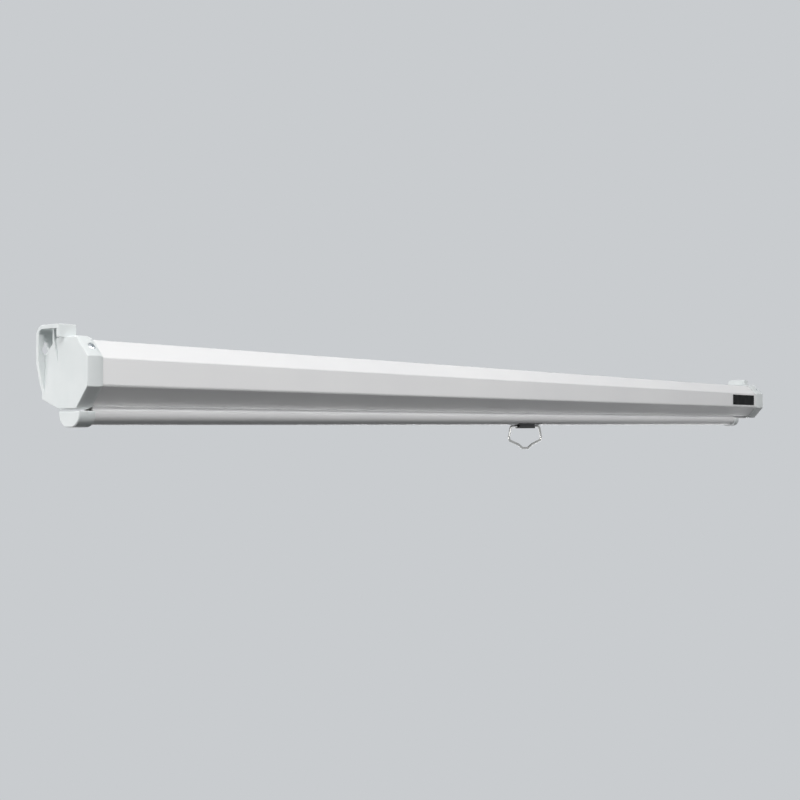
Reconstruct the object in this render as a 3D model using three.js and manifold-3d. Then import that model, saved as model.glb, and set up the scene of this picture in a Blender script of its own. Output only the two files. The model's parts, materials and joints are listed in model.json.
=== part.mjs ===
// A pull down projector screen: an eight-sided steel case with moulded end caps, a sprung roller
// with a ratchet lock inside it, and a weight bar with a wire pull handle under it.
// Millimetres. X runs along the case, Y towards the wall and Z up. The origin is on the wall,
// behind the middle of the case.

import * as THREE from 'three';
import { mergeVertices } from 'three/addons/utils/BufferGeometryUtils.js';
import Module from 'manifold-3d';

const wasm = await Module();
wasm.setup();

// Driving sizes of the whole screen
const OVERALL_LENGTH = 1710; // outer face to outer face of the end caps
const CAP_HEIGHT = 69.5; // section of the end caps, which the case follows
const CAP_DEPTH = 73;
const DROP = 1524; // travel of the weight bar

// Fits shared by every piece
const SEAT_GAP = 0.3; // between two pieces that touch
const OVERRUN = 2; // how far a cutting shape runs past what it cuts
const BURY = 1; // how far a rib or wall starts inside the piece it stands on

// Counts of sides
const ROUND_SIDES = 24;
const ROLL_SIDES = 36;
const ARC_STEPS = 6;
const WIRE_SIDES = 8;
const WIRE_STEPS = 72;
const SPRING_SIDES = 5;
const SPRING_STEPS_PER_TURN = 8;

// Eight-sided section, measured on the end cap
const LOWER_FRONT_SLOPE_HEIGHT = 21.2;
const UPPER_FRONT_SLOPE_HEIGHT = 19.2;
const UPPER_BACK_SLOPE_DEPTH = 21.8;
const UPPER_BACK_SLOPE_HEIGHT = 21.2;
const LOWER_BACK_SLOPE_DEPTH = 26.5;
const LOWER_BACK_SLOPE_HEIGHT = 9;
const BOTTOM_BEFORE_SLOT = 6.55; // flat of the underside in front of the fabric slot

// End caps
const CAP_PROUD = 3; // step from the case to the cap
const CAP_END_WALL = 3;
const CAP_CHAMFER_INSET = 1;
const CAP_CHAMFER_LENGTH = 2.8;
const CAP_RAMP_LENGTH = 5.5;
const CAP_LIP = 0.7; // wall left at the thin end of the ramp
const LEFT_CAP_LENGTH = 18.5;
const RIGHT_CAP_LENGTH = 34;
const CAP_SCREW_FROM_END = 11.5;

// Hanging bracket moulded on each end cap
const HANGER_OUT = 7; // past the end face
const HANGER_IN = 12.8; // inwards of the end face
const HANGER_RISE = 11.6; // above the cap
const HANGER_DEPTH = 37;
const HANGER_WALL = 4;
const HANGER_CORNER = 10; // round at the top of the wall plate
const HANGER_RIB_FROM_WALL = 19.6; // front face of the rib
const HANGER_RIB_WALL = 3.2;
const HANGER_WEB = 3;
const PLATE_MID_HEIGHT = 39; // heights above the underside where the plate's edge bends
const PLATE_LOW_HEIGHT = 26;
const PLATE_FOOT_HEIGHT = 13;
const PLATE_MID_OUT = 5.7;
const PLATE_LOW_OUT = 3.1;
const KEYHOLE_RADIUS = 4.3;
const KEYHOLE_IN = 1.5;
const KEYHOLE_BELOW_TOP = 11.5; // under the top of the cap
const KEYHOLE_SLOT_WIDTH = 4.6;
const KEYHOLE_SLOT_RISE = 7.8;
const GROOVE_FROM_WALL = 24; // front side of the groove
const GROOVE_WIDTH = 4.4;
const GROOVE_HEIGHT = 25.2;
const GROOVE_DEPTH = 1.6;

// Case
const CASE_WALL = 1.2;
const SLOT_WIDTH = 10;
const LIP_DEPTH = 4.3;
const LIP_FROM_CAP = 4; // where the lips start, past each end cap

// Label plate on the front of the case
const LABEL_LENGTH = 111;
const LABEL_HEIGHT = 20;
const LABEL_THICKNESS = 0.8;
const LABEL_FROM_RIGHT = 47;
const LABEL_LOW = 26.4;

// Pan head screws of the end caps
const CAP_SCREW_HEAD_RADIUS = 3.8;
const CAP_SCREW_HEAD_HEIGHT = 1.6;
const CAP_SCREW_SHANK_RADIUS = 1.6;
const CAP_SCREW_SHANK_LENGTH = 6;
const CAP_SCREW_SINK = 1.7;
const SCREW_DRIVE_SHARE = 0.45; // radius of the drive recess to that of its head
const SCREW_DRIVE_DEPTH_SHARE = 0.5;

// Steel brackets inside the end caps
const BRACKET_THICKNESS = 2;
const BRACKET_EDGE_GAP = 1;
const BRACKET_SCREW_HEAD_RADIUS = 3.2;
const BRACKET_SCREW_HEAD_HEIGHT = 2;
const BRACKET_SCREW_SHANK_RADIUS = 1.5;
const BRACKET_SCREW_BITE = 2.1; // into the end wall of the cap
const BRACKET_SCREW_REACH = 22; // from the roller's axis
const BRACKET_SCREW_TILT_DEG = 60;

// Roller
const ROLLER_BELOW_MIDDLE = 1.45; // axis under the middle of the section
const ROLL_CLEARANCE = 2; // between the full roll and the back of the case
const TUBE_RADIUS = 15;
const TUBE_WALL = 1.3;
const TUBE_FROM_LEFT = 12.6;
const TUBE_FROM_RIGHT = 18;
const ROLL_RADIUS = 19.8;
const PLUG_FLANGE = 3.7;
const PLUG_LENGTH = 30;
const PIN_RADIUS = 4;
const PIN_DEPTH = 24; // of the pin in its plug
const BUSH_WALL = 1.9;
const BUSH_FLANGE_WALL = 3.8;
const BUSH_FLANGE = 1.4;
const BUSH_NOSE = 1.3;

// Spring shaft and its fittings
const SHAFT_RADIUS = 4;
const SHAFT_PAST_ANCHOR = 58; // runs on to its steady bearing
const TANG_THICKNESS = 4;
const TANG_HEIGHT = 7;
const TANG_LENGTH = 6;
const SPRING_MEAN_RADIUS = 9;
const SPRING_WIRE_RADIUS = 1;
const SPRING_TURNS = 34;
const SPRING_PITCH = 4.4;
const ANCHOR_RADIUS = 10.5;
const ANCHOR_LENGTH = 9;
const STEADY_LENGTH = 8;
const STEADY_FROM_SHAFT_END = 6;

// Ratchet lock
const RATCHET_RADIUS = 8.6;
const RATCHET_NOTCH_RADIUS = 6.4;
const RATCHET_NOTCHES = 4;
const RATCHET_NOTCH_DEG = 38;
const RATCHET_FACE_DEG = 41.5; // direction of the first blocking face, up from the wall side
const RATCHET_THICKNESS = 6;
const PAWL_PIVOT_RADIUS = 12;
const PAWL_PIN_RADIUS = 1.2;
const PAWL_PIN_HEAD_RADIUS = 2.1;
const PAWL_PIN_HEAD = 1.2;
const PAWL_EYE_RADIUS = 2.7;
const PAWL_LENGTH = 8.4;
const PAWL_NECK = 2.2;
const PAWL_TIP = 1.6;
const PAWL_REST_DEG = 6; // tilt of the pawl's line from the tangent at rest
const PAWL_THICKNESS = 6;

// Weight bar
const BAR_FROM_LEFT = 0.3; // ends of the bar, inwards of the end faces of the caps
const BAR_FROM_RIGHT = 101.1;
const BAR_CAP_PROUD = 1.7;
const BAR_CAP_BELOW = 2.4;
const BAR_CAP_LENGTH = 18.5;
const BAR_CAP_END_WALL = 2.2;
const BAR_WIDTH = 29.4;
const BAR_HEIGHT = 13.4;
const BAR_CORNER = 12;
const BAR_WALL = 1.3;
const BAR_SLOT_WIDTH = 3;
const CHANNEL_WIDTH = 7.4;
const CHANNEL_DEPTH = 7.2;
const CHANNEL_WALL = 1.2;
const HEM_ROD_RADIUS = 2.4;
const FABRIC_THICKNESS = 0.3;

// Handle and its bracket under the bar
const HANDLE_OFF_MIDDLE = 3.1; // handle to the right of the bar's middle
const NOTCH_LENGTH = 66;
const SADDLE_HEIGHT = 2.8; // of the bracket's part that fills the notch
const HANDLE_BRACKET_LENGTH = 42;
const HANDLE_BRACKET_WIDTH = 9;
const HANDLE_BRACKET_BELOW = 5.2;
const HANDLE_AXIS_BELOW = 2.1; // pivot under the underside of the bar
const HANDLE_WIRE_RADIUS = 1.75;
const HANDLE_PIN_BITE = 8; // of the wire in its bracket
const HANDLE_SHOULDER = 40; // half width where the wire turns down
const HANDLE_ELBOW = 46.4;
const HANDLE_ELBOW_DROP = 20.3;
const HANDLE_INNER = 19;
const HANDLE_INNER_DROP = 27.4;
const HANDLE_SEAT = 7.1; // half of the flat at the bottom
const HANDLE_SEAT_DROP = 33;
const HANDLE_BEND = 4.5;
const HANDLE_SCREW_SPACING = 14;
const HANDLE_SCREW_HEAD_RADIUS = 2.7;
const HANDLE_SCREW_HEAD_HEIGHT = 1.4;
const HANDLE_SCREW_SHANK_RADIUS = 1.3;

// Places that follow from the sizes
const leftEnd = -OVERALL_LENGTH / 2;
const rightEnd = OVERALL_LENGTH / 2;
const underside = -CAP_HEIGHT / 2;
const frontPlane = -CAP_DEPTH;
const rollerY = -CASE_WALL - ROLL_CLEARANCE - ROLL_RADIUS;
const fabricY = rollerY - ROLL_RADIUS - SEAT_GAP - FABRIC_THICKNESS / 2;
const slotFront = fabricY - SLOT_WIDTH / 2;
const slotBack = fabricY + SLOT_WIDTH / 2;
const rollerZ = -ROLLER_BELOW_MIDDLE;
const caseUnderside = underside + CAP_PROUD;
const lipEnd = caseUnderside - LIP_DEPTH;
const barTop = lipEnd - SEAT_GAP;
const barBottom = barTop - BAR_HEIGHT;
const barLeft = leftEnd + BAR_FROM_LEFT;
const barRight = rightEnd - BAR_FROM_RIGHT;
const handleX = (barLeft + barRight) / 2 + HANDLE_OFF_MIDDLE;
const fabricFrom = barLeft + BAR_CAP_LENGTH + SEAT_GAP;
const fabricTo = barRight - BAR_CAP_LENGTH - SEAT_GAP;
const hemRadius = HEM_ROD_RADIUS + SEAT_GAP + FABRIC_THICKNESS;
const hemZ = barTop - BAR_WALL - SEAT_GAP - hemRadius;
const handleAxisZ = barBottom - HANDLE_AXIS_BELOW;

// Materials, one for each finish
function finish(color, roughness, metalness) {
  return new THREE.MeshStandardMaterial({ color, roughness, metalness });
}
const whiteEnamel = () => finish(0xe9eae8, 0.38, 0);
const whitePlastic = () => finish(0xe6e9e6, 0.42, 0);
const zincSteel = () => finish(0xb9bcbf, 0.35, 0.9);
const nickelWire = () => finish(0xc9c9c6, 0.22, 1);
const springSteel = () => finish(0x6f7072, 0.4, 0.9);
const aluminium = () => finish(0xc4c6c8, 0.35, 0.9);
const blackPlastic = () => finish(0x17181a, 0.5, 0);
const naturalNylon = () => finish(0xe2ddcf, 0.5, 0);
const screenFabric = () => finish(0xf1f1ef, 0.9, 0);

// Solids in and out of the boolean library
function solid(geometry) {
  const bare = geometry.clone();
  bare.deleteAttribute('normal');
  bare.deleteAttribute('uv');
  const merged = mergeVertices(bare);
  const vertProperties = new Float32Array(merged.attributes.position.array);
  const triVerts = new Uint32Array(merged.index.array);
  return new wasm.Manifold(new wasm.Mesh({ numProp: 3, vertProperties, triVerts }));
}

function geometryOf(body) {
  const mesh = body.getMesh();
  const geometry = new THREE.BufferGeometry();
  geometry.setAttribute('position', new THREE.BufferAttribute(new Float32Array(mesh.vertProperties), 3));
  geometry.setIndex(new THREE.BufferAttribute(new Uint32Array(mesh.triVerts), 1));
  geometry.computeVertexNormals();
  return geometry;
}

function joined(parts) {
  return parts.map(solid).reduce((all, part) => all.add(part));
}

function cut(body, tools) {
  return tools.map(solid).reduce((left, tool) => left.subtract(tool), body);
}

// Shapes: outlines are lists of [across, up]
function shapeOf(outline) {
  return new THREE.Shape(outline.map(([across, up]) => new THREE.Vector2(across, up)));
}

// A section in Y and Z, run along X
function prismX(outline, fromX, toX, holes = []) {
  const shape = shapeOf(outline);
  holes.forEach((hole) => shape.holes.push(shapeOf(hole)));
  const geometry = new THREE.ExtrudeGeometry(shape, { depth: Math.abs(toX - fromX), bevelEnabled: false });
  const turn = new THREE.Matrix4().makeBasis(
    new THREE.Vector3(0, 1, 0),
    new THREE.Vector3(0, 0, 1),
    new THREE.Vector3(1, 0, 0),
  );
  geometry.applyMatrix4(turn);
  geometry.translate(Math.min(fromX, toX), 0, 0);
  return geometry;
}

// An outline in X and Z, run along Y
function prismY(outline, fromY, toY) {
  const geometry = new THREE.ExtrudeGeometry(shapeOf(outline), {
    depth: Math.abs(toY - fromY),
    bevelEnabled: false,
  });
  geometry.rotateX(Math.PI / 2);
  geometry.translate(0, Math.max(fromY, toY), 0);
  return geometry;
}

function block(low, high) {
  const size = low.map((value, axis) => Math.abs(high[axis] - value));
  const middle = low.map((value, axis) => (value + high[axis]) / 2);
  return new THREE.BoxGeometry(...size).translate(...middle);
}

// Two convex sections with as many corners, joined by flat sides
function loftX(fromOutline, fromX, toOutline, toX) {
  const flip = toX < fromX;
  const first = flip ? toOutline : fromOutline;
  const last = flip ? fromOutline : toOutline;
  const count = first.length;
  const places = [
    ...first.flatMap(([y, z]) => [Math.min(fromX, toX), y, z]),
    ...last.flatMap(([y, z]) => [Math.max(fromX, toX), y, z]),
  ];
  const faces = [];
  for (let i = 0; i < count; i += 1) {
    const next = (i + 1) % count;
    faces.push(i, next, count + next, i, count + next, count + i);
  }
  for (let i = 1; i < count - 1; i += 1) {
    faces.push(0, i + 1, i);
    faces.push(count, count + i, count + i + 1);
  }
  const geometry = new THREE.BufferGeometry();
  geometry.setAttribute('position', new THREE.Float32BufferAttribute(places, 3));
  geometry.setIndex(faces);
  return geometry;
}

// A turned piece about X: the profile is a list of [radius, along]
function turnedX(profile, sides = ROUND_SIDES) {
  const points = profile.map(([radius, along]) => new THREE.Vector2(radius, along));
  const geometry = new THREE.LatheGeometry(points, sides);
  geometry.rotateZ(-Math.PI / 2);
  return solidGeometry(geometry);
}

// Puts a lathe's faces the right way out whichever way its profile ran
function solidGeometry(geometry) {
  const merged = solidParts(geometry);
  const { position } = merged.attributes;
  const corner = [0, 1, 2].map(() => new THREE.Vector3());
  let volume = 0;
  for (let i = 0; i < merged.index.count; i += 3) {
    corner.forEach((point, step) => point.fromBufferAttribute(position, merged.index.getX(i + step)));
    volume += corner[0].dot(corner[1].cross(corner[2]));
  }
  if (volume < 0) {
    const { array } = merged.index;
    for (let i = 0; i < array.length; i += 3) {
      [array[i], array[i + 1]] = [array[i + 1], array[i]];
    }
  }
  return merged;
}

// Shared corners, without the slivers that a lathe leaves on its axis
function solidParts(geometry) {
  const bare = geometry.clone();
  bare.deleteAttribute('normal');
  bare.deleteAttribute('uv');
  const merged = mergeVertices(bare);
  const kept = [];
  const { array } = merged.index;
  for (let i = 0; i < array.length; i += 3) {
    const [a, b, c] = [array[i], array[i + 1], array[i + 2]];
    if (a !== b && b !== c && c !== a) kept.push(a, b, c);
  }
  merged.setIndex(kept);
  return merged;
}

function rodX(radius, fromX, toX, sides = ROUND_SIDES) {
  return turnedX([[0, fromX], [radius, fromX], [radius, toX], [0, toX]], sides);
}

function ringX(inner, outer, fromX, toX, sides = ROUND_SIDES) {
  const profile = [[inner, fromX], [outer, fromX], [outer, toX], [inner, toX], [inner, fromX]];
  return turnedX(profile, sides);
}

function arc(centre, radius, fromDeg, toDeg, steps = ARC_STEPS) {
  return Array.from({ length: steps + 1 }, (_, i) => {
    const angle = THREE.MathUtils.degToRad(fromDeg + ((toDeg - fromDeg) * i) / steps);
    return [centre[0] + radius * Math.cos(angle), centre[1] + radius * Math.sin(angle)];
  });
}

// Moves each side of a closed outline inwards by its own distance
function inset(outline, distances) {
  const count = outline.length;
  const sides = outline.map(([y, z], i) => {
    const [nextY, nextZ] = outline[(i + 1) % count];
    const length = Math.hypot(nextY - y, nextZ - z);
    const along = [(nextY - y) / length, (nextZ - z) / length];
    const inwards = [-along[1], along[0]];
    const start = [y + inwards[0] * distances[i], z + inwards[1] * distances[i]];
    return { start, along };
  });
  return sides.map((side, i) => {
    const before = sides[(i + count - 1) % count];
    const gap = [side.start[0] - before.start[0], side.start[1] - before.start[1]];
    const cross = before.along[0] * side.along[1] - before.along[1] * side.along[0];
    const reach = (gap[0] * side.along[1] - gap[1] * side.along[0]) / cross;
    return [before.start[0] + before.along[0] * reach, before.start[1] + before.along[1] * reach];
  });
}

// The eight-sided section, from the front of the underside round by the wall
const BOTTOM_SIDE = 0;
const LOWER_BACK_SIDE = 1;
const BACK_SIDE = 2;
const UPPER_FRONT_SIDE = 5;
const capTop = underside + CAP_HEIGHT;
const backSlopeFoot = capTop - UPPER_BACK_SLOPE_HEIGHT;
const flatFront = slotFront - BOTTOM_BEFORE_SLOT;
const capSection = [
  [flatFront, underside],
  [-LOWER_BACK_SLOPE_DEPTH, underside],
  [0, underside + LOWER_BACK_SLOPE_HEIGHT],
  [0, backSlopeFoot],
  [-UPPER_BACK_SLOPE_DEPTH, capTop],
  [flatFront, capTop],
  [frontPlane, capTop - UPPER_FRONT_SLOPE_HEIGHT],
  [frontPlane, underside + LOWER_FRONT_SLOPE_HEIGHT],
];

// The section inside the cap's by one distance all round but for the wall side
function sectionInside(distance, backDistance = distance) {
  return inset(capSection, capSection.map((_, i) => (i === BACK_SIDE ? backDistance : distance)));
}
const caseOuter = sectionInside(CAP_PROUD, 0);
const caseInner = sectionInside(CAP_PROUD + CASE_WALL, CASE_WALL);

// The middle and the outward direction of one side of a section
function sideOf(section, index) {
  const [y, z] = section[index];
  const [nextY, nextZ] = section[(index + 1) % section.length];
  const middle = new THREE.Vector3(0, (y + nextY) / 2, (z + nextZ) / 2);
  const outward = new THREE.Vector3(0, nextZ - z, y - nextY).normalize();
  return { middle, outward };
}

// A pan head screw along +X of its own: the face under the head is at the origin
function screw(headRadius, headHeight, shankRadius, shankLength) {
  const drive = headRadius * SCREW_DRIVE_SHARE;
  const driveDepth = headHeight * SCREW_DRIVE_DEPTH_SHARE;
  return turnedX([
    [0, -shankLength],
    [shankRadius, -shankLength],
    [shankRadius, 0],
    [headRadius, 0],
    [headRadius, headHeight - driveDepth],
    [drive + driveDepth, headHeight],
    [drive, headHeight],
    [drive, headHeight - driveDepth],
    [0, headHeight - driveDepth],
  ], ROUND_SIDES / 2);
}

function mesh(name, geometry, material) {
  const made = new THREE.Mesh(geometry, material);
  made.name = name;
  return made;
}

function grouped(...children) {
  const group = new THREE.Group();
  group.add(...children);
  return group;
}

// Turns a piece made along +X into another direction and puts it in its place
function aim(object, direction, place) {
  object.quaternion.setFromUnitVectors(new THREE.Vector3(1, 0, 0), direction);
  object.position.copy(place);
  return object;
}

// Case: one rolled steel skin, open along the fabric slot, with two lips that turn down
const caseEndIn = CAP_END_WALL + SEAT_GAP; // case ends, measured from the cap's outer face

function capScrewPlace(side, sectionSide) {
  const { middle, outward } = sideOf(capSection, sectionSide);
  const endX = side < 0 ? leftEnd : rightEnd;
  const place = middle.clone();
  place.x = endX - side * CAP_SCREW_FROM_END;
  return { place, outward };
}

const capScrewSides = [UPPER_FRONT_SIDE, LOWER_BACK_SIDE];

// A hole through a sloping side, square to it
function capScrewTool(side, sectionSide, radius, depth) {
  const { place, outward } = capScrewPlace(side, sectionSide);
  const tool = rodX(radius, -depth, OVERRUN, ROUND_SIDES / 2);
  const turn = new THREE.Quaternion().setFromUnitVectors(new THREE.Vector3(1, 0, 0), outward);
  tool.applyQuaternion(turn);
  return tool.translate(place.x, place.y, place.z);
}

function caseShell() {
  const [outerFloor, innerFloor] = [caseOuter[0][1], caseInner[0][1]];
  const skin = [
    [slotBack, outerFloor],
    ...caseOuter.slice(1),
    caseOuter[0],
    [slotFront, outerFloor],
    [slotFront, innerFloor],
    caseInner[0],
    ...caseInner.slice(1).reverse(),
    [slotBack, innerFloor],
  ];
  const lipFrom = leftEnd + LEFT_CAP_LENGTH + LIP_FROM_CAP;
  const lipTo = rightEnd - RIGHT_CAP_LENGTH - LIP_FROM_CAP;
  const lips = [slotFront - CASE_WALL, slotBack].map((y) => (
    block([lipFrom, y, lipEnd], [lipTo, y + CASE_WALL, innerFloor])
  ));
  const whole = joined([prismX(skin, leftEnd + caseEndIn, rightEnd - caseEndIn), ...lips]);
  const holes = [-1, 1].flatMap((side) => capScrewSides.map((sectionSide) => (
    capScrewTool(side, sectionSide, CAP_SCREW_SHANK_RADIUS + SEAT_GAP, CAP_PROUD + CASE_WALL + OVERRUN)
  )));
  return mesh('case_shell', geometryOf(cut(whole, holes)), whiteEnamel());
}

// Where the roller brackets are screwed to the end caps, in Y and Z
const bracketScrewTilt = THREE.MathUtils.degToRad(BRACKET_SCREW_TILT_DEG);
const bracketScrewPlaces = [1, -1].map((above) => [
  rollerY - BRACKET_SCREW_REACH * Math.cos(bracketScrewTilt),
  rollerZ + above * BRACKET_SCREW_REACH * Math.sin(bracketScrewTilt),
]);


// End caps: side is -1 for the left one and 1 for the right one, and "in" runs from the
// outer face towards the middle of the screen
function endCap(name, side, length) {
  const at = (inwards) => (side < 0 ? leftEnd : rightEnd) - side * inwards;
  const flatEnd = length - CAP_RAMP_LENGTH;
  const body = joined([
    loftX(sectionInside(CAP_CHAMFER_INSET, 0), at(0), capSection, at(CAP_CHAMFER_LENGTH)),
    prismX(capSection, at(CAP_CHAMFER_LENGTH), at(flatEnd)),
    loftX(capSection, at(flatEnd), sectionInside(CAP_PROUD - SEAT_GAP - CAP_LIP, 0), at(length)),
  ]);
  const pocketSection = sectionInside(CAP_PROUD - SEAT_GAP, -OVERRUN);
  const pocket = prismX(pocketSection, at(CAP_END_WALL), at(length + OVERRUN));
  const sleeve = cut(body, [pocket]);

  // Hanger: a channel bent over the cap's upper back slope, closed at its inner end
  const top = capTop + HANGER_RISE;
  const cornerCentre = [-HANGER_CORNER, top - HANGER_CORNER];
  const slopeTop = [-UPPER_BACK_SLOPE_DEPTH - BURY, capTop - BURY];
  const slopeFoot = [-BURY, backSlopeFoot - BURY];
  const channel = [
    [-HANGER_DEPTH, capTop - BURY],
    slopeTop,
    slopeFoot,
    [0, backSlopeFoot],
    ...arc(cornerCentre, HANGER_CORNER, 0, 90),
    [-HANGER_DEPTH, top],
  ];
  const cavity = [
    [-HANGER_DEPTH + HANGER_WALL, slopeTop[1] - OVERRUN],
    [slopeTop[0], slopeTop[1] - OVERRUN],
    [-HANGER_WALL, backSlopeFoot - OVERRUN],
    ...arc(cornerCentre, HANGER_CORNER - HANGER_WALL, 0, 90),
    [-HANGER_DEPTH + HANGER_WALL, top - HANGER_WALL],
  ];
  const hanger = cut(joined([prismX(channel, at(-HANGER_OUT), at(HANGER_IN))]), [
    prismX(cavity, at(-HANGER_OUT - OVERRUN), at(HANGER_IN - HANGER_WEB)),
  ]);
  const rib = block(
    [at(0), -HANGER_RIB_FROM_WALL, backSlopeFoot + LOWER_BACK_SLOPE_HEIGHT],
    [at(HANGER_IN - HANGER_WEB / 2), -HANGER_RIB_FROM_WALL + HANGER_RIB_WALL, top - HANGER_WALL / 2],
  );

  // Wall plate below the hanger, its outer edge drawn in towards the foot
  const plate = prismY([
    [at(CAP_END_WALL), underside + PLATE_FOOT_HEIGHT],
    [at(CAP_CHAMFER_INSET), underside + PLATE_FOOT_HEIGHT],
    [at(-PLATE_LOW_OUT), underside + PLATE_LOW_HEIGHT],
    [at(-PLATE_MID_OUT), underside + PLATE_MID_HEIGHT],
    [at(-HANGER_OUT), backSlopeFoot],
    [at(-HANGER_OUT), capTop],
    [at(CAP_END_WALL), capTop],
  ], -HANGER_WALL, 0);
  const shaped = sleeve.add(hanger).add(solid(rib)).add(solid(plate));

  // Keyhole in the plate, and a wedge-shaped groove in the end face below the hanger's slot
  const slotHalf = KEYHOLE_SLOT_WIDTH / 2;
  const keyCentre = [at(KEYHOLE_IN), capTop - KEYHOLE_BELOW_TOP];
  const slotCentre = [keyCentre[0], keyCentre[1] + KEYHOLE_SLOT_RISE - slotHalf];
  const keyhole = [
    ...arc(keyCentre, KEYHOLE_RADIUS, 120, 420, ROUND_SIDES - ARC_STEPS),
    ...arc(slotCentre, slotHalf, 0, 180),
  ];
  const groove = [
    [-GROOVE_FROM_WALL, capTop + OVERRUN],
    [-GROOVE_FROM_WALL, capTop],
    [-GROOVE_FROM_WALL - GROOVE_DEPTH, capTop - GROOVE_HEIGHT],
    [-GROOVE_FROM_WALL + GROOVE_WIDTH, capTop - OVERRUN],
    [-GROOVE_FROM_WALL + GROOVE_WIDTH, capTop + OVERRUN],
  ];
  const screwTools = capScrewSides.flatMap((sectionSide) => [
    capScrewTool(side, sectionSide, CAP_SCREW_HEAD_RADIUS + SEAT_GAP, CAP_SCREW_SINK),
    capScrewTool(side, sectionSide, CAP_SCREW_SHANK_RADIUS + SEAT_GAP, CAP_PROUD + OVERRUN),
  ]);
  const bites = bracketScrewPlaces.map(([y, z]) => (
    rodX(
      BRACKET_SCREW_SHANK_RADIUS + SEAT_GAP,
      at(CAP_END_WALL - BRACKET_SCREW_BITE - SEAT_GAP),
      at(CAP_END_WALL + OVERRUN),
      ROUND_SIDES / 2,
    ).translate(0, y, z)
  ));
  const finished = cut(shaped, [
    pocket,
    prismY(keyhole, -HANGER_WALL - BURY, OVERRUN),
    prismX(groove, at(-OVERRUN), at(GROOVE_DEPTH)),
    ...screwTools,
    ...bites,
  ]);
  return mesh(name, geometryOf(finished), whitePlastic());
}

function capScrews(name, side) {
  const places = ['upper', 'lower'];
  return capScrewSides.map((sectionSide, i) => {
    const { place, outward } = capScrewPlace(side, sectionSide);
    const seat = place.clone().addScaledVector(outward, SEAT_GAP - CAP_SCREW_SINK);
    const made = mesh(`${name}_cap_screw_${places[i]}`, screw(
      CAP_SCREW_HEAD_RADIUS,
      CAP_SCREW_HEAD_HEIGHT,
      CAP_SCREW_SHANK_RADIUS,
      CAP_SCREW_SHANK_LENGTH,
    ), zincSteel());
    return aim(made, outward, seat);
  });
}

function labelPlate() {
  const caseFront = caseOuter[caseOuter.length - 1][0];
  const right = rightEnd - LABEL_FROM_RIGHT;
  return mesh('label_plate', block(
    [right - LABEL_LENGTH, caseFront - SEAT_GAP - LABEL_THICKNESS, underside + LABEL_LOW],
    [right, caseFront - SEAT_GAP, underside + LABEL_LOW + LABEL_HEIGHT],
  ), blackPlastic());
}

// Steel brackets that carry the roller, screwed to the inside of the caps
function bracket(name, side, opening) {
  const outer = (side < 0 ? leftEnd : rightEnd) - side * caseEndIn;
  const inner = outer - side * BRACKET_THICKNESS;
  const outline = sectionInside(CAP_PROUD + CASE_WALL + BRACKET_EDGE_GAP, CASE_WALL + BRACKET_EDGE_GAP);
  const [cutFrom, cutTo] = [outer + side * OVERRUN, inner - side * OVERRUN];
  const holes = bracketScrewPlaces.map(([y, z]) => (
    rodX(BRACKET_SCREW_SHANK_RADIUS + SEAT_GAP, cutFrom, cutTo, ROUND_SIDES / 2).translate(0, y, z)
  ));
  const plate = joined([prismX(outline, outer, inner)]);
  const bearing = opening(cutFrom, cutTo);
  return mesh(name, geometryOf(cut(plate, [bearing, ...holes])), zincSteel());
}

function bracketScrews(name, side) {
  const face = (side < 0 ? leftEnd : rightEnd) - side * (caseEndIn + BRACKET_THICKNESS + SEAT_GAP);
  const shank = BRACKET_THICKNESS + SEAT_GAP + SEAT_GAP + BRACKET_SCREW_BITE;
  const places = ['upper', 'lower'];
  return bracketScrewPlaces.map(([y, z], i) => aim(
    mesh(`${name}_bracket_screw_${places[i]}`, screw(
      BRACKET_SCREW_HEAD_RADIUS,
      BRACKET_SCREW_HEAD_HEIGHT,
      BRACKET_SCREW_SHANK_RADIUS,
      shank,
    ), zincSteel()),
    new THREE.Vector3(-side, 0, 0),
    new THREE.Vector3(face, y, z),
  ));
}

const bushRadius = PIN_RADIUS + SEAT_GAP + BUSH_WALL;
const leftBracketInner = leftEnd + caseEndIn + BRACKET_THICKNESS;
const rightBracketInner = rightEnd - caseEndIn - BRACKET_THICKNESS;

function leftBracket() {
  return bracket('left_bracket', -1, (fromX, toX) => (
    rodX(bushRadius + SEAT_GAP, fromX, toX).translate(0, rollerY, rollerZ)
  ));
}

function rightBracket() {
  return bracket('right_bracket', 1, (fromX, toX) => block(
    [Math.min(fromX, toX), rollerY - TANG_THICKNESS / 2 - SEAT_GAP, rollerZ - TANG_HEIGHT / 2 - SEAT_GAP],
    [Math.max(fromX, toX), rollerY + TANG_THICKNESS / 2 + SEAT_GAP, rollerZ + TANG_HEIGHT / 2 + SEAT_GAP],
  ));
}

// Pieces about the roller's axis: their group stands on it, so their own Y and Z are zero there
function leftBush() {
  const bore = PIN_RADIUS + SEAT_GAP;
  const flangeStart = leftBracketInner + SEAT_GAP;
  return mesh('left_bush', turnedX([
    [bore, leftEnd + caseEndIn],
    [bushRadius, leftEnd + caseEndIn],
    [bushRadius, flangeStart],
    [PIN_RADIUS + SEAT_GAP + BUSH_FLANGE_WALL, flangeStart],
    [PIN_RADIUS + SEAT_GAP + BUSH_FLANGE_WALL, flangeStart + BUSH_FLANGE],
    [bushRadius, flangeStart + BUSH_FLANGE],
    [bushRadius, flangeStart + BUSH_FLANGE + BUSH_NOSE],
    [bore, flangeStart + BUSH_FLANGE + BUSH_NOSE],
    [bore, leftEnd + caseEndIn],
  ]), naturalNylon());
}

const tubeFrom = leftEnd + TUBE_FROM_LEFT;
const tubeTo = rightEnd - TUBE_FROM_RIGHT;
const tubeBore = TUBE_RADIUS - TUBE_WALL;
const plugRadius = tubeBore - SEAT_GAP;

function rollerTube() {
  return mesh('roller_tube', ringX(tubeBore, TUBE_RADIUS, tubeFrom, tubeTo), aluminium());
}

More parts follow.
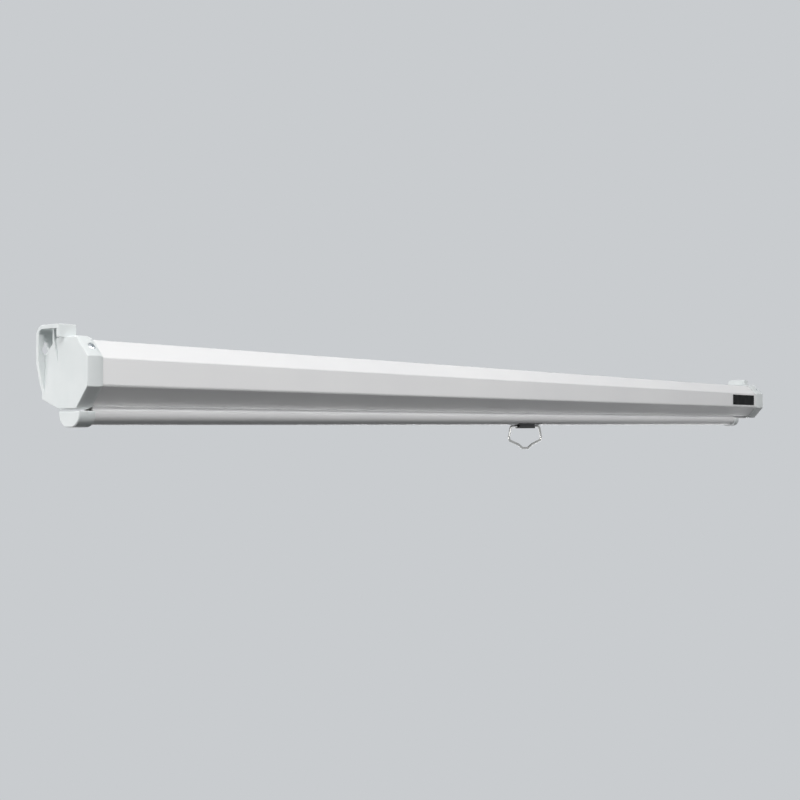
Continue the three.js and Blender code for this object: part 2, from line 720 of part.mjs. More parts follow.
function fabricRoll() {
  const inner = TUBE_RADIUS + SEAT_GAP;
  const roll = ringX(inner, ROLL_RADIUS, fabricFrom, fabricTo, ROLL_SIDES);
  return mesh('fabric_roll', roll, screenFabric());
}

function leftPlug() {
  const outer = tubeFrom - SEAT_GAP - PLUG_FLANGE;
  const bore = PIN_RADIUS + SEAT_GAP;
  return mesh('left_plug', turnedX([
    [bore, outer],
    [TUBE_RADIUS, outer],
    [TUBE_RADIUS, outer + PLUG_FLANGE],
    [plugRadius, outer + PLUG_FLANGE],
    [plugRadius, outer + PLUG_FLANGE + PLUG_LENGTH],
    [0, outer + PLUG_FLANGE + PLUG_LENGTH],
    [0, outer + PIN_DEPTH + SEAT_GAP],
    [bore, outer + PIN_DEPTH + SEAT_GAP],
    [bore, outer],
  ]), blackPlastic());
}

function leftPin() {
  const inner = tubeFrom - SEAT_GAP - PLUG_FLANGE + PIN_DEPTH;
  return mesh('left_pin', rodX(PIN_RADIUS, leftEnd + caseEndIn, inner), zincSteel());
}

// Spring end, at the right: the shaft stands still and the plug turns on it
const plugFlangeFace = tubeTo + SEAT_GAP + PLUG_FLANGE; // outer face of the right plug
const ratchetFrom = plugFlangeFace + SEAT_GAP;
const pawlPins = [1, -1].map((above) => ({ above, name: above > 0 ? 'upper' : 'lower' }));

function pawlPivot(above) {
  return [0, above * PAWL_PIVOT_RADIUS];
}

function rightPlug() {
  const bore = SHAFT_RADIUS + SEAT_GAP;
  const body = solid(turnedX([
    [bore, tubeTo - PLUG_LENGTH],
    [plugRadius, tubeTo - PLUG_LENGTH],
    [plugRadius, tubeTo + SEAT_GAP],
    [TUBE_RADIUS, tubeTo + SEAT_GAP],
    [TUBE_RADIUS, plugFlangeFace],
    [bore, plugFlangeFace],
    [bore, tubeTo - PLUG_LENGTH],
  ]));
  const holes = pawlPins.map(({ above }) => {
    const hole = rodX(PAWL_PIN_RADIUS + SEAT_GAP, tubeTo, plugFlangeFace + OVERRUN, ROUND_SIDES / 2);
    return hole.translate(0, ...pawlPivot(above));
  });
  return mesh('right_plug', geometryOf(cut(body, holes)), blackPlastic());
}

function pawlPin({ above, name }) {
  const [y, z] = pawlPivot(above);
  const headFrom = ratchetFrom + PAWL_THICKNESS + SEAT_GAP;
  const made = mesh(`pawl_pin_${name}`, turnedX([
    [0, tubeTo + SEAT_GAP],
    [PAWL_PIN_RADIUS, tubeTo + SEAT_GAP],
    [PAWL_PIN_RADIUS, headFrom],
    [PAWL_PIN_HEAD_RADIUS, headFrom],
    [PAWL_PIN_HEAD_RADIUS, headFrom + PAWL_PIN_HEAD],
    [0, headFrom + PAWL_PIN_HEAD],
  ], ROUND_SIDES / 2), zincSteel());
  made.position.set(0, y, z);
  return made;
}

// A pawl in its own frame: the pivot at the origin, the tip along +Y. The lower one is the
// upper one turned half a turn about the roller
function pawl({ above, name }) {
  const neck = PAWL_NECK / 2;
  const eye = arc([0, 0], PAWL_EYE_RADIUS, 60, 300, ROUND_SIDES / 2);
  const outline = [
    ...eye,
    [PAWL_LENGTH - PAWL_TIP, -neck],
    [PAWL_LENGTH, -neck - PAWL_TIP],
    [PAWL_LENGTH, neck - PAWL_TIP / 2],
    [PAWL_LENGTH - PAWL_TIP, neck],
  ];
  const lever = joined([prismX(outline, ratchetFrom, ratchetFrom + PAWL_THICKNESS)]);
  const eyeHole = rodX(
    PAWL_PIN_RADIUS + SEAT_GAP,
    ratchetFrom - OVERRUN,
    ratchetFrom + PAWL_THICKNESS + OVERRUN,
    ROUND_SIDES / 2,
  );
  const made = mesh(`pawl_${name}`, geometryOf(cut(lever, [eyeHole])), zincSteel());
  const [y, z] = pawlPivot(above);
  made.position.set(0, y, z);
  made.rotation.x = THREE.MathUtils.degToRad(-PAWL_REST_DEG) + (above > 0 ? 0 : Math.PI);
  return made;
}

// Each notch has a blocking face, a foot and a slope back up to the land, so the roller can
// only be stopped on its way up
function ratchetWheel() {
  const step = 360 / RATCHET_NOTCHES;
  const outline = Array.from({ length: RATCHET_NOTCHES }, (_, i) => {
    const start = RATCHET_FACE_DEG + i * step;
    const foot = THREE.MathUtils.degToRad(start);
    const land = arc([0, 0], RATCHET_RADIUS, start + RATCHET_NOTCH_DEG, start + step);
    return [[RATCHET_NOTCH_RADIUS * Math.cos(foot), RATCHET_NOTCH_RADIUS * Math.sin(foot)], ...land];
  }).flat();
  const wheel = joined([prismX(outline, ratchetFrom, ratchetFrom + RATCHET_THICKNESS)]);
  const wheelTo = ratchetFrom + RATCHET_THICKNESS;
  const bore = rodX(SHAFT_RADIUS + SEAT_GAP, ratchetFrom - OVERRUN, wheelTo + OVERRUN);
  return mesh('ratchet_wheel', geometryOf(cut(wheel, [bore])), zincSteel());
}

const springTo = tubeTo - PLUG_LENGTH - SEAT_GAP - SPRING_WIRE_RADIUS - SEAT_GAP;
const springFrom = springTo - SPRING_TURNS * SPRING_PITCH;
const anchorTo = springFrom - SPRING_WIRE_RADIUS - SEAT_GAP;
const anchorFrom = anchorTo - ANCHOR_LENGTH;
const shaftTo = rightBracketInner - SEAT_GAP;
const shaftFrom = anchorFrom - SHAFT_PAST_ANCHOR;

function springShaft() {
  const tang = block(
    [shaftTo - BURY, -TANG_THICKNESS / 2, -TANG_HEIGHT / 2],
    [shaftTo - BURY + TANG_LENGTH - CAP_END_WALL, TANG_THICKNESS / 2, TANG_HEIGHT / 2],
  );
  const shaft = joined([rodX(SHAFT_RADIUS, shaftFrom, shaftTo), tang]);
  return mesh('spring_shaft', geometryOf(shaft), zincSteel());
}

class Helix extends THREE.Curve {
  constructor(radius, pitch, turns, startX) {
    super();
    Object.assign(this, { radius, pitch, turns, startX });
  }

  getPoint(share, target = new THREE.Vector3()) {
    const angle = share * this.turns * 2 * Math.PI;
    return target.set(
      this.startX + share * this.turns * this.pitch,
      this.radius * Math.cos(angle),
      this.radius * Math.sin(angle),
    );
  }
}

function torsionSpring() {
  const section = new THREE.Shape(Array.from({ length: SPRING_SIDES }, (_, i) => {
    const angle = (2 * Math.PI * i) / SPRING_SIDES;
    return new THREE.Vector2(SPRING_WIRE_RADIUS * Math.cos(angle), SPRING_WIRE_RADIUS * Math.sin(angle));
  }));
  const path = new Helix(SPRING_MEAN_RADIUS, SPRING_PITCH, SPRING_TURNS, springFrom);
  const coil = new THREE.ExtrudeGeometry(section, {
    steps: SPRING_TURNS * SPRING_STEPS_PER_TURN,
    extrudePath: path,
  });
  return mesh('torsion_spring', solidGeometry(coil), springSteel());
}

function springAnchor() {
  const ring = ringX(SHAFT_RADIUS + SEAT_GAP, ANCHOR_RADIUS, anchorFrom, anchorTo);
  return mesh('spring_anchor', ring, blackPlastic());
}

function shaftSteady() {
  const from = shaftFrom + STEADY_FROM_SHAFT_END;
  const ring = ringX(SHAFT_RADIUS + SEAT_GAP, plugRadius, from, from + STEADY_LENGTH);
  return mesh('shaft_steady', ring, naturalNylon());
}

// Weight bar and what hangs in it
function barOutline(proud, below, above) {
  const half = BAR_WIDTH / 2 + proud;
  const corner = BAR_CORNER + proud;
  const bottom = barBottom - below;
  return [
    ...arc([fabricY - half + corner, bottom + corner], corner, 180, 270),
    ...arc([fabricY + half - corner, bottom + corner], corner, 270, 360),
    [fabricY + half, barTop + above],
    [fabricY - half, barTop + above],
  ];
}

function weightBar() {
  const from = barLeft + BAR_CAP_END_WALL + SEAT_GAP;
  const to = barRight - BAR_CAP_END_WALL - SEAT_GAP;
  const channelHalf = CHANNEL_WIDTH / 2;
  const wallHalf = channelHalf + CHANNEL_WALL;
  const channelTop = barTop - BAR_WALL;
  const channelFloor = channelTop - CHANNEL_DEPTH;
  const outer = barOutline(0, 0, 0);
  const lastTwo = outer.slice(-2);
  const skin = [
    ...outer.slice(0, -2),
    lastTwo[0],
    [fabricY + BAR_SLOT_WIDTH / 2, barTop],
    [fabricY + BAR_SLOT_WIDTH / 2, channelTop],
    [fabricY + channelHalf, channelTop],
    [fabricY + channelHalf, channelFloor],
    [fabricY - channelHalf, channelFloor],
    [fabricY - channelHalf, channelTop],
    [fabricY - BAR_SLOT_WIDTH / 2, channelTop],
    [fabricY - BAR_SLOT_WIDTH / 2, barTop],
    lastTwo[1],
  ];
  const rounded = barOutline(-BAR_WALL, -BAR_WALL, -BAR_WALL);
  const hollow = [
    ...rounded.slice(0, -1),
    [fabricY + wallHalf, channelTop],
    [fabricY + wallHalf, channelFloor - CHANNEL_WALL],
    [fabricY - wallHalf, channelFloor - CHANNEL_WALL],
    [fabricY - wallHalf, channelTop],
    rounded[rounded.length - 1],
  ];
  const bar = joined([prismX(skin, from, to, [hollow])]);
  const notch = block(
    [handleX - NOTCH_LENGTH / 2, fabricY - BAR_WIDTH, barBottom - OVERRUN],
    [handleX + NOTCH_LENGTH / 2, fabricY + BAR_WIDTH, barBottom + SADDLE_HEIGHT],
  );
  const screwHoles = handleScrewPlaces.map((x) => (
    screwHole(x, channelFloor - CHANNEL_WALL - OVERRUN, channelFloor + OVERRUN)
  ));
  return mesh('weight_bar', geometryOf(cut(bar, [notch, ...screwHoles])), whiteEnamel());
}

function barCap(name, side) {
  const outer = side < 0 ? barLeft : barRight;
  const outline = barOutline(BAR_CAP_PROUD, BAR_CAP_BELOW, 0);
  const cup = joined([prismX(outline, outer, outer - side * BAR_CAP_LENGTH)]);
  const pocket = prismX(
    barOutline(SEAT_GAP, SEAT_GAP, OVERRUN),
    outer - side * BAR_CAP_END_WALL,
    outer - side * (BAR_CAP_LENGTH + OVERRUN),
  );
  return mesh(name, geometryOf(cut(cup, [pocket])), whitePlastic());
}

function hemRod() {
  const made = mesh('hem_rod', rodX(HEM_ROD_RADIUS, fabricFrom, fabricTo), zincSteel());
  made.position.set(0, fabricY, hemZ);
  return made;
}

function fabricHem() {
  const inner = HEM_ROD_RADIUS + SEAT_GAP;
  const sleeve = ringX(inner, hemRadius, fabricFrom, fabricTo);
  const made = mesh('fabric_hem', sleeve, screenFabric());
  made.position.set(0, fabricY, hemZ);
  return made;
}

// The free stretch of fabric from the front of the roll down to the hem
function fabricDrop() {
  return mesh('fabric_drop', block(
    [fabricFrom, fabricY - FABRIC_THICKNESS / 2, hemZ + hemRadius + SEAT_GAP / 2],
    [fabricTo, fabricY + FABRIC_THICKNESS / 2, rollerZ],
  ), screenFabric());
}

// Handle bracket: a black block screwed up under the fabric channel, with a saddle that fills
// the notch in the bar's underside
const handleScrewPlaces = [-1, 1].map((side) => handleX + (side * HANDLE_SCREW_SPACING) / 2);
const bracketBottom = barBottom - HANDLE_BRACKET_BELOW;
const handleScrewSink = HANDLE_SCREW_HEAD_HEIGHT + SEAT_GAP;

// An upright hole for a handle bracket screw
function screwHole(x, fromZ, toZ, radius = HANDLE_SCREW_SHANK_RADIUS + SEAT_GAP) {
  const hole = rodX(radius, fromZ, toZ, ROUND_SIDES / 2);
  hole.rotateY(-Math.PI / 2);
  return hole.translate(x, fabricY, 0);
}

function handleBracket() {
  const top = barTop - BAR_WALL - CHANNEL_DEPTH - CHANNEL_WALL - SEAT_GAP;
  const half = HANDLE_BRACKET_LENGTH / 2;
  const saddleHalf = NOTCH_LENGTH / 2 - SEAT_GAP;
  const saddleTop = block(
    [handleX - saddleHalf, fabricY - BAR_WIDTH, barBottom - OVERRUN],
    [handleX + saddleHalf, fabricY + BAR_WIDTH, barBottom + SADDLE_HEIGHT - SEAT_GAP],
  );
  const bar = prismX(barOutline(0, 0, 0), handleX - NOTCH_LENGTH, handleX + NOTCH_LENGTH);
  const saddle = solid(bar).intersect(solid(saddleTop));
  const body = saddle.add(solid(block(
    [handleX - half, fabricY - HANDLE_BRACKET_WIDTH / 2, bracketBottom],
    [handleX + half, fabricY + HANDLE_BRACKET_WIDTH / 2, top],
  )));
  const pinRadius = HANDLE_WIRE_RADIUS + SEAT_GAP;
  const pins = [-1, 1].map((side) => {
    const end = handleX + side * half;
    return rodX(pinRadius, end + side * OVERRUN, end - side * (HANDLE_PIN_BITE + SEAT_GAP))
      .translate(0, fabricY, handleAxisZ);
  });
  const headHole = HANDLE_SCREW_HEAD_RADIUS + SEAT_GAP;
  const screws = handleScrewPlaces.flatMap((x) => [
    screwHole(x, bracketBottom - OVERRUN, top + OVERRUN),
    screwHole(x, bracketBottom - OVERRUN, bracketBottom + handleScrewSink, headHole),
  ]);
  return mesh('handle_bracket', geometryOf(cut(body, [...pins, ...screws])), blackPlastic());
}

function handleScrews() {
  const seat = bracketBottom + handleScrewSink - SEAT_GAP;
  const channelFloor = barTop - BAR_WALL - CHANNEL_DEPTH;
  const shank = channelFloor - SEAT_GAP - seat;
  return handleScrewPlaces.map((x, i) => aim(
    mesh(`handle_screw_${i === 0 ? 'left' : 'right'}`, screw(
      HANDLE_SCREW_HEAD_RADIUS,
      HANDLE_SCREW_HEAD_HEIGHT,
      HANDLE_SCREW_SHANK_RADIUS,
      shank,
    ), zincSteel()),
    new THREE.Vector3(0, 0, -1),
    new THREE.Vector3(x, fabricY, seat),
  ));
}

// A path of straight runs with a round bend of one radius at each corner
function bentPath(corners, bend) {
  const path = new THREE.CurvePath();
  let from = corners[0];
  for (let i = 1; i < corners.length - 1; i += 1) {
    const corner = corners[i];
    const before = corners[i - 1].clone().sub(corner).normalize();
    const after = corners[i + 1].clone().sub(corner).normalize();
    const setback = bend / Math.tan(before.angleTo(after) / 2);
    const enter = corner.clone().addScaledVector(before, setback);
    const leave = corner.clone().addScaledVector(after, setback);
    path.add(new THREE.LineCurve3(from, enter));
    path.add(new THREE.QuadraticBezierCurve3(enter, corner, leave));
    from = leave;
  }
  path.add(new THREE.LineCurve3(from, corners[corners.length - 1]));
  return path;
}

// Pull handle: one bent wire whose ends turn in the bracket. Its group stands on the pivot
function pullHandle() {
  const pinEnd = HANDLE_BRACKET_LENGTH / 2 - HANDLE_PIN_BITE;
  const half = [
    [pinEnd, 0],
    [HANDLE_SHOULDER, 0],
    [HANDLE_ELBOW, HANDLE_ELBOW_DROP],
    [HANDLE_INNER, HANDLE_INNER_DROP],
    [HANDLE_SEAT, HANDLE_SEAT_DROP],
  ];
  const left = half.map(([across, drop]) => new THREE.Vector3(-across, 0, -drop));
  const right = half.map(([across, drop]) => new THREE.Vector3(across, 0, -drop)).reverse();
  const section = new THREE.Shape(Array.from({ length: WIRE_SIDES }, (_, i) => {
    const angle = (2 * Math.PI * i) / WIRE_SIDES;
    return new THREE.Vector2(HANDLE_WIRE_RADIUS * Math.cos(angle), HANDLE_WIRE_RADIUS * Math.sin(angle));
  }));
  const wire = new THREE.ExtrudeGeometry(section, {
    steps: WIRE_STEPS,
    extrudePath: bentPath([...left, ...right], HANDLE_BEND),
  });
  return mesh('pull_handle', solidGeometry(wire), nickelWire());
}

// The screen
const aboutRoller = grouped(
  leftBush(),
  rollerTube(),
  fabricRoll(),
  leftPlug(),
  leftPin(),
  rightPlug(),
  ...pawlPins.map(pawlPin),
  ...pawlPins.map(pawl),
  ratchetWheel(),
  springShaft(),
  torsionSpring(),
  springAnchor(),
  shaftSteady(),
);
aboutRoller.position.set(0, rollerY, rollerZ);

const handle = grouped(pullHandle());
handle.position.set(handleX, fabricY, handleAxisZ);

const bar = grouped(
  weightBar(),
  barCap('bar_cap_left', -1),
  barCap('bar_cap_right', 1),
  hemRod(),
  fabricHem(),
  fabricDrop(),
  handleBracket(),
  ...handleScrews(),
);

const housing = grouped(
  caseShell(),
  endCap('left_end_cap', -1, LEFT_CAP_LENGTH),
  endCap('right_end_cap', 1, RIGHT_CAP_LENGTH),
  ...capScrews('left', -1),
  ...capScrews('right', 1),
  labelPlate(),
  leftBracket(),
  rightBracket(),
  ...bracketScrews('left', -1),
  ...bracketScrews('right', 1),
);

const screen = grouped(housing, aboutRoller, bar, handle);

export default screen;
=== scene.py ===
# %% [markdown]
# # A pull down projector screen
# A long white housing hangs on a wall. A spring roller inside it holds a white cloth, and the cloth
# ends in a weight bar with a wire pull handle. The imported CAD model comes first: it is the fixed
# frame, in metres, with X along the housing, Y towards the wall and Z up. What follows dresses that
# frame, so that every edge, screw and surface looks like the real thing.

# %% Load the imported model
import json
import math

import bmesh
import bpy
from mathutils import Matrix, Vector

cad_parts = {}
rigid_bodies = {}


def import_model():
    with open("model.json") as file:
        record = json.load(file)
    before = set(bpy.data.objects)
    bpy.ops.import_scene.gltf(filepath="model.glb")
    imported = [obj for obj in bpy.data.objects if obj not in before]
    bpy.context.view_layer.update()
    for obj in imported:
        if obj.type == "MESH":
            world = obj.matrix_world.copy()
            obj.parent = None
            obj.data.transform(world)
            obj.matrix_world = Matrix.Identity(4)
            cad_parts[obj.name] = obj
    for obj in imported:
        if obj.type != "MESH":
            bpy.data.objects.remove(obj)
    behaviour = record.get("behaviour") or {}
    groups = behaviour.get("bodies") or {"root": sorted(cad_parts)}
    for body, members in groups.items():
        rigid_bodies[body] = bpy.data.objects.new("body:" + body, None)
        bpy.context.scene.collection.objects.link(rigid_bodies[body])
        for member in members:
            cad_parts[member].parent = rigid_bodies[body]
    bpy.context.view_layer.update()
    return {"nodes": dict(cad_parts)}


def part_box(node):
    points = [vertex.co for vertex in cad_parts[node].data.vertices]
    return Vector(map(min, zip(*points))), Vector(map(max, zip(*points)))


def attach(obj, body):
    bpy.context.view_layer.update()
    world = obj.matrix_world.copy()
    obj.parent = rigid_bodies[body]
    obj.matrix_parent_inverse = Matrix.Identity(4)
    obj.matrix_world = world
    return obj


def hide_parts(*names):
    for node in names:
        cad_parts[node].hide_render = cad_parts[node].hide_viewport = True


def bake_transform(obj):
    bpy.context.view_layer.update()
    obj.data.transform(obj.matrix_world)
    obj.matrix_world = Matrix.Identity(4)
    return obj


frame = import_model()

MM = 0.001
nodes = frame["nodes"]
# Whatever else the scene opened with is no part of the screen
for spare in [o for o in bpy.data.objects if o.name not in nodes and not o.name.startswith("body:")]:
    bpy.data.objects.remove(spare)

# %% [markdown]
# ## The camera
# The photograph was taken close to the left end, a little below the middle of the housing, so the
# far end looks much smaller. The place and the direction below were worked out from the housing's
# long edges and ends in the photograph.

# %% Put the camera where the photographer stood
LENS_MM = 50
SENSOR_MM = 36


def put(name, data):
    """A new object in the scene, such as a mesh, a lamp or a camera."""
    made = bpy.data.objects.new(name, data)
    bpy.context.scene.collection.objects.link(made)
    return made


camera = put("camera", bpy.data.cameras.new("camera"))
right = Vector((0.62263, -0.78252, 0.0))
up = Vector((-0.01725, -0.01373, 0.99976))
forward = Vector((0.78233, 0.62248, 0.02204))
camera.matrix_world = Matrix((
    (right.x, up.x, -forward.x, -1.4816),
    (right.y, up.y, -forward.y, -0.9423),
    (right.z, up.z, -forward.z, -0.0492),
    (0, 0, 0, 1),
))
camera.data.lens = LENS_MM
camera.data.sensor_width = SENSOR_MM
bpy.context.scene.camera = camera
bpy.context.scene.view_settings.view_transform = "Standard"
print("camera at", [round(v, 3) for v in camera.location])

# %% [markdown]
# ## Helpers for nodes
# Every material and every Geometry Nodes tree below is a list of nodes, so one small function adds a
# node with its settings and links, and others write sums, vectors and colours. A colour is written
# in hex, as it looks on a screen, and Blender wants linear numbers.

# %% Colours and nodes
def linear(hex_colour):
    """A screen colour such as F4F4F1 as Blender's linear red, green, blue and alpha."""
    shares = [int(hex_colour[i:i + 2], 16) / 255 for i in (0, 2, 4)]
    return tuple(c / 12.92 if c <= 0.04045 else ((c + 0.055) / 1.055) ** 2.4 for c in shares) + (1.0,)


def add(tree, kind, inputs=None, **settings):
    """Adds a node. An input is a value, or another node's output to link."""
    node = tree.nodes.new(kind)
    for name, value in settings.items():
        setattr(node, name, value)
    for name, value in (inputs or {}).items():
        if isinstance(value, bpy.types.NodeSocket):
            tree.links.new(value, node.inputs[name])
        else:
            node.inputs[name].default_value = value
    return node


def maths(tree, operation, *values):
    """One sum, such as MULTIPLY, on numbers or outputs."""
    return add(tree, "ShaderNodeMath", dict(enumerate(values)), operation=operation).outputs[0]


def vector(tree, **parts):
    """A vector from its X, Y and Z. A part that isn't given is 0."""
    return add(tree, "ShaderNodeCombineXYZ", parts).outputs[0]


print("white is", linear("FFFFFF")[:3])

# %% [markdown]
# ## What most finishes share
# Real surfaces are never one flat colour. Three things break them up here: a slow drift between two
# close colours, a roughness that wanders a little, and a fine bump. All three come from noise on
# Object coordinates, in metres, so they keep their real scale on every piece.

# %% Start a finish and draw a pattern
def start_finish(name, colour, roughness, metallic=0.0):
    """A new material with its shader, and the Object coordinates that its patterns use."""
    made = bpy.data.materials.new(name)
    made.use_nodes = True
    tree = made.node_tree
    shader = tree.nodes["Principled BSDF"]
    shader.inputs["Base Color"].default_value = linear(colour)
    shader.inputs["Roughness"].default_value = roughness
    shader.inputs["Metallic"].default_value = metallic
    place = add(tree, "ShaderNodeTexCoord").outputs["Object"]
    return made, tree, shader, place


def stretched(tree, place, along):
    """Coordinates that make a pattern long in X, as drawing and extruding leave it."""
    return add(tree, "ShaderNodeMapping", {"Vector": place, "Scale": (along, 1.0, 1.0)}).outputs["Vector"]


def noise(tree, place, size_mm, detail=2.0):
    """Noise whose patches are about size_mm wide."""
    return add(tree, "ShaderNodeTexNoise", {
        "Vector": place, "Scale": 1000.0 / size_mm, "Detail": detail,
    }).outputs["Fac"]


print("pattern helpers ready")

# %% [markdown]
# A pattern is only a number between 0 and 1 at each place. The next helpers turn it into a colour, a
# gloss or a relief. Rounded edges carry an attribute called edge, so a finish can show where paint
# is thin on a fold or where a plastic edge is rubbed.

# %% Turn a pattern into colour, gloss and relief
def between(tree, share, low, high, start=0.3, end=0.7):
    """Turns a share into a number from low to high. Noise mostly lies between 0.3 and 0.7."""
    return add(tree, "ShaderNodeMapRange", {
        "Value": share, "From Min": start, "From Max": end, "To Min": low, "To Max": high,
    }).outputs["Result"]


def drifting(tree, place, size_mm, detail=3.0):
    """A share that wanders from 0 to 1 over about size_mm."""
    return between(tree, noise(tree, place, size_mm, detail), 0.0, 1.0)


def blended(tree, share, first, second):
    """A colour between two, by a share. Either may be a hex colour or an output."""
    return add(tree, "ShaderNodeMix", {
        0: share,
        6: linear(first) if isinstance(first, str) else first,
        7: linear(second) if isinstance(second, str) else second,
    }, data_type="RGBA").outputs[2]


def coloured(tree, shader, colour, edge_colour, worn):
    """Gives the shader its colour, which turns by the share worn into another on rounded edges."""
    edge = add(tree, "ShaderNodeAttribute", attribute_name="edge").outputs["Fac"]
    share = maths(tree, "MULTIPLY", edge, worn)
    tree.links.new(blended(tree, share, colour, edge_colour), shader.inputs["Base Color"])


def glossed(tree, shader, share, low, high, start=0.3, end=0.7):
    """Gives the shader a roughness from low to high."""
    tree.links.new(between(tree, share, low, high, start, end), shader.inputs["Roughness"])


def bumped(tree, shader, height, depth_mm, strength=1.0):
    """Raises the surface by a height pattern, depth_mm from its lowest to its highest."""
    bump = add(tree, "ShaderNodeBump", {
        "Height": height, "Strength": strength, "Distance": depth_mm * MM,
    })
    tree.links.new(bump.outputs["Normal"], shader.inputs["Normal"])


print("finish helpers ready")

# %% [markdown]
# ### Baked white enamel
# The housing and the weight bar are painted metal. Baked enamel has a faint orange peel of soft
# hills about two millimetres wide, a middling gloss, and a coat that is a touch thinner and greyer
# on the folded edges.

# %% The enamel
def white_enamel():
    made, tree, shader, place = start_finish("baked_white_enamel", "F2F2F2", roughness=0.36)
    coat = blended(tree, drifting(tree, place, size_mm=160.0), "F4F4F4", "EFEFF0")
    coloured(tree, shader, coat, "DFDFE0", worn=0.35)
    glossed(tree, shader, noise(tree, place, size_mm=24.0, detail=4.0), 0.34, 0.40)
    bumped(tree, shader, noise(tree, place, size_mm=2.2, detail=1.0), depth_mm=0.008)
    return made


enamel = white_enamel()
print("made", enamel.name)

# %% [markdown]
# ### Moulded white plastic
# The end caps are injection moulded. Such plastic is a little greyer than the paint beside it, with
# a fine spark-eroded grain from the mould and slow flow marks that change its gloss.

# %% The cap plastic
def moulded_plastic():
    made, tree, shader, place = start_finish("moulded_white_plastic", "E6EAEA", roughness=0.42)
    flow = drifting(tree, stretched(tree, place, 0.5), size_mm=30.0, detail=2.0)
    resin = blended(tree, flow, "E7EBEB", "E1E6E6")
    coloured(tree, shader, resin, "F1F4F4", worn=0.4)
    glossed(tree, shader, flow, 0.38, 0.48, start=0.0, end=1.0)
    bumped(tree, shader, noise(tree, place, size_mm=0.7), depth_mm=0.02, strength=0.7)
    return made


cap_plastic = moulded_plastic()
print("made", cap_plastic.name)

# %% [markdown]
# ### Metals
# Metals differ in colour and in the marks that their making leaves. Bright zinc plate is bluish and
# blotchy, nickel is a shade warmer and shinier, oiled spring steel is dark, and mill aluminium is
# pale. Drawn wire and extruded tube have fine lines along their length. One function makes them all,
# and its numbers are what tell them apart.

# %% The metals
def worked_metal(name, dark, light, roughness, blotch_mm, line_mm, depth_mm, drawn=False):
    """A metal with blotches of blotch_mm and marks of line_mm, which run along X if it was drawn."""
    made, tree, shader, place = start_finish(name, light, roughness, metallic=1.0)
    blotch = drifting(tree, place, blotch_mm)
    coloured(tree, shader, blended(tree, blotch, dark, light), "F2F2F0", worn=0.5)
    glossed(tree, shader, blotch, roughness * 0.85, roughness * 1.25, start=0.0, end=1.0)
    lined = stretched(tree, place, 0.02) if drawn else place
    bumped(tree, shader, noise(tree, lined, line_mm, detail=3.0), depth_mm)
    return made


zinc = worked_metal(
    "bright_zinc_plate", "C0C5C9", "DDE1E4", roughness=0.30, blotch_mm=6.0, line_mm=0.8, depth_mm=0.01,
)
nickel = worked_metal(
    "nickel_plated_wire", "B3B2AF", "CBCAC7", roughness=0.20, blotch_mm=9.0, line_mm=0.5, depth_mm=0.004,
    drawn=True,
)
spring_steel = worked_metal(
    "oiled_spring_steel", "4C4A47", "77736D", roughness=0.34, blotch_mm=5.0, line_mm=0.6, depth_mm=0.008,
)
aluminium = worked_metal(
    "mill_aluminium", "B9BCBF", "D0D2D4", roughness=0.33, blotch_mm=40.0, line_mm=0.9, depth_mm=0.012,
    drawn=True,
)
print("made", [m.name for m in (zinc, nickel, spring_steel, aluminium)])

# %% [markdown]
# ### Dark and pale plastics
# The handle's saddle and the spring's anchor are black, so is the label plate, and the bush, the
# steady and the roller's plugs are of undyed nylon. Black plastic is really a very dark grey whose
# scuffs are lighter. The label is the most matt of them, so it hardly mirrors the room.

# %% The other plastics
def plain_plastic(name, first, second, edge_colour, roughness, grain_mm, depth_mm):
    """A moulded plastic with a drift between two colours and a grain."""
    made, tree, shader, place = start_finish(name, first, roughness)
    drift = drifting(tree, place, size_mm=14.0, detail=4.0)
    coloured(tree, shader, blended(tree, drift, first, second), edge_colour, worn=0.5)
    glossed(tree, shader, drift, roughness * 0.9, roughness * 1.2, start=0.0, end=1.0)
    bumped(tree, shader, noise(tree, place, grain_mm), depth_mm, strength=0.7)
    return made


black_plastic = plain_plastic(
    "moulded_black_plastic", "151617", "1D1E20", "343537", roughness=0.42, grain_mm=0.7, depth_mm=0.02,
)
label_foil = plain_plastic(
    "bare_black_plate", "0C0D0E", "131415", "232425", roughness=0.60, grain_mm=3.0, depth_mm=0.004,
)
label_foil.node_tree.nodes["Principled BSDF"].inputs["Specular IOR Level"].default_value = 0.1
nylon = plain_plastic(
    "natural_nylon", "E6E2D4", "DCD7C6", "F0EDE2", roughness=0.40, grain_mm=1.2, depth_mm=0.01,
)
print("made", [m.name for m in (black_plastic, label_foil, nylon)])

# %% [markdown]
# ### Screen cloth
# The picture side is a matt white coat on woven glass fibre. It has almost no gloss, or the image
# would flare, and a soft sheen at grazing angles. The real weave is about half a millimetre, which a
# picture of the whole screen can't show, so it is drawn twice as coarse and very shallow.

# %% The cloth
WEAVE_MM = 1.1


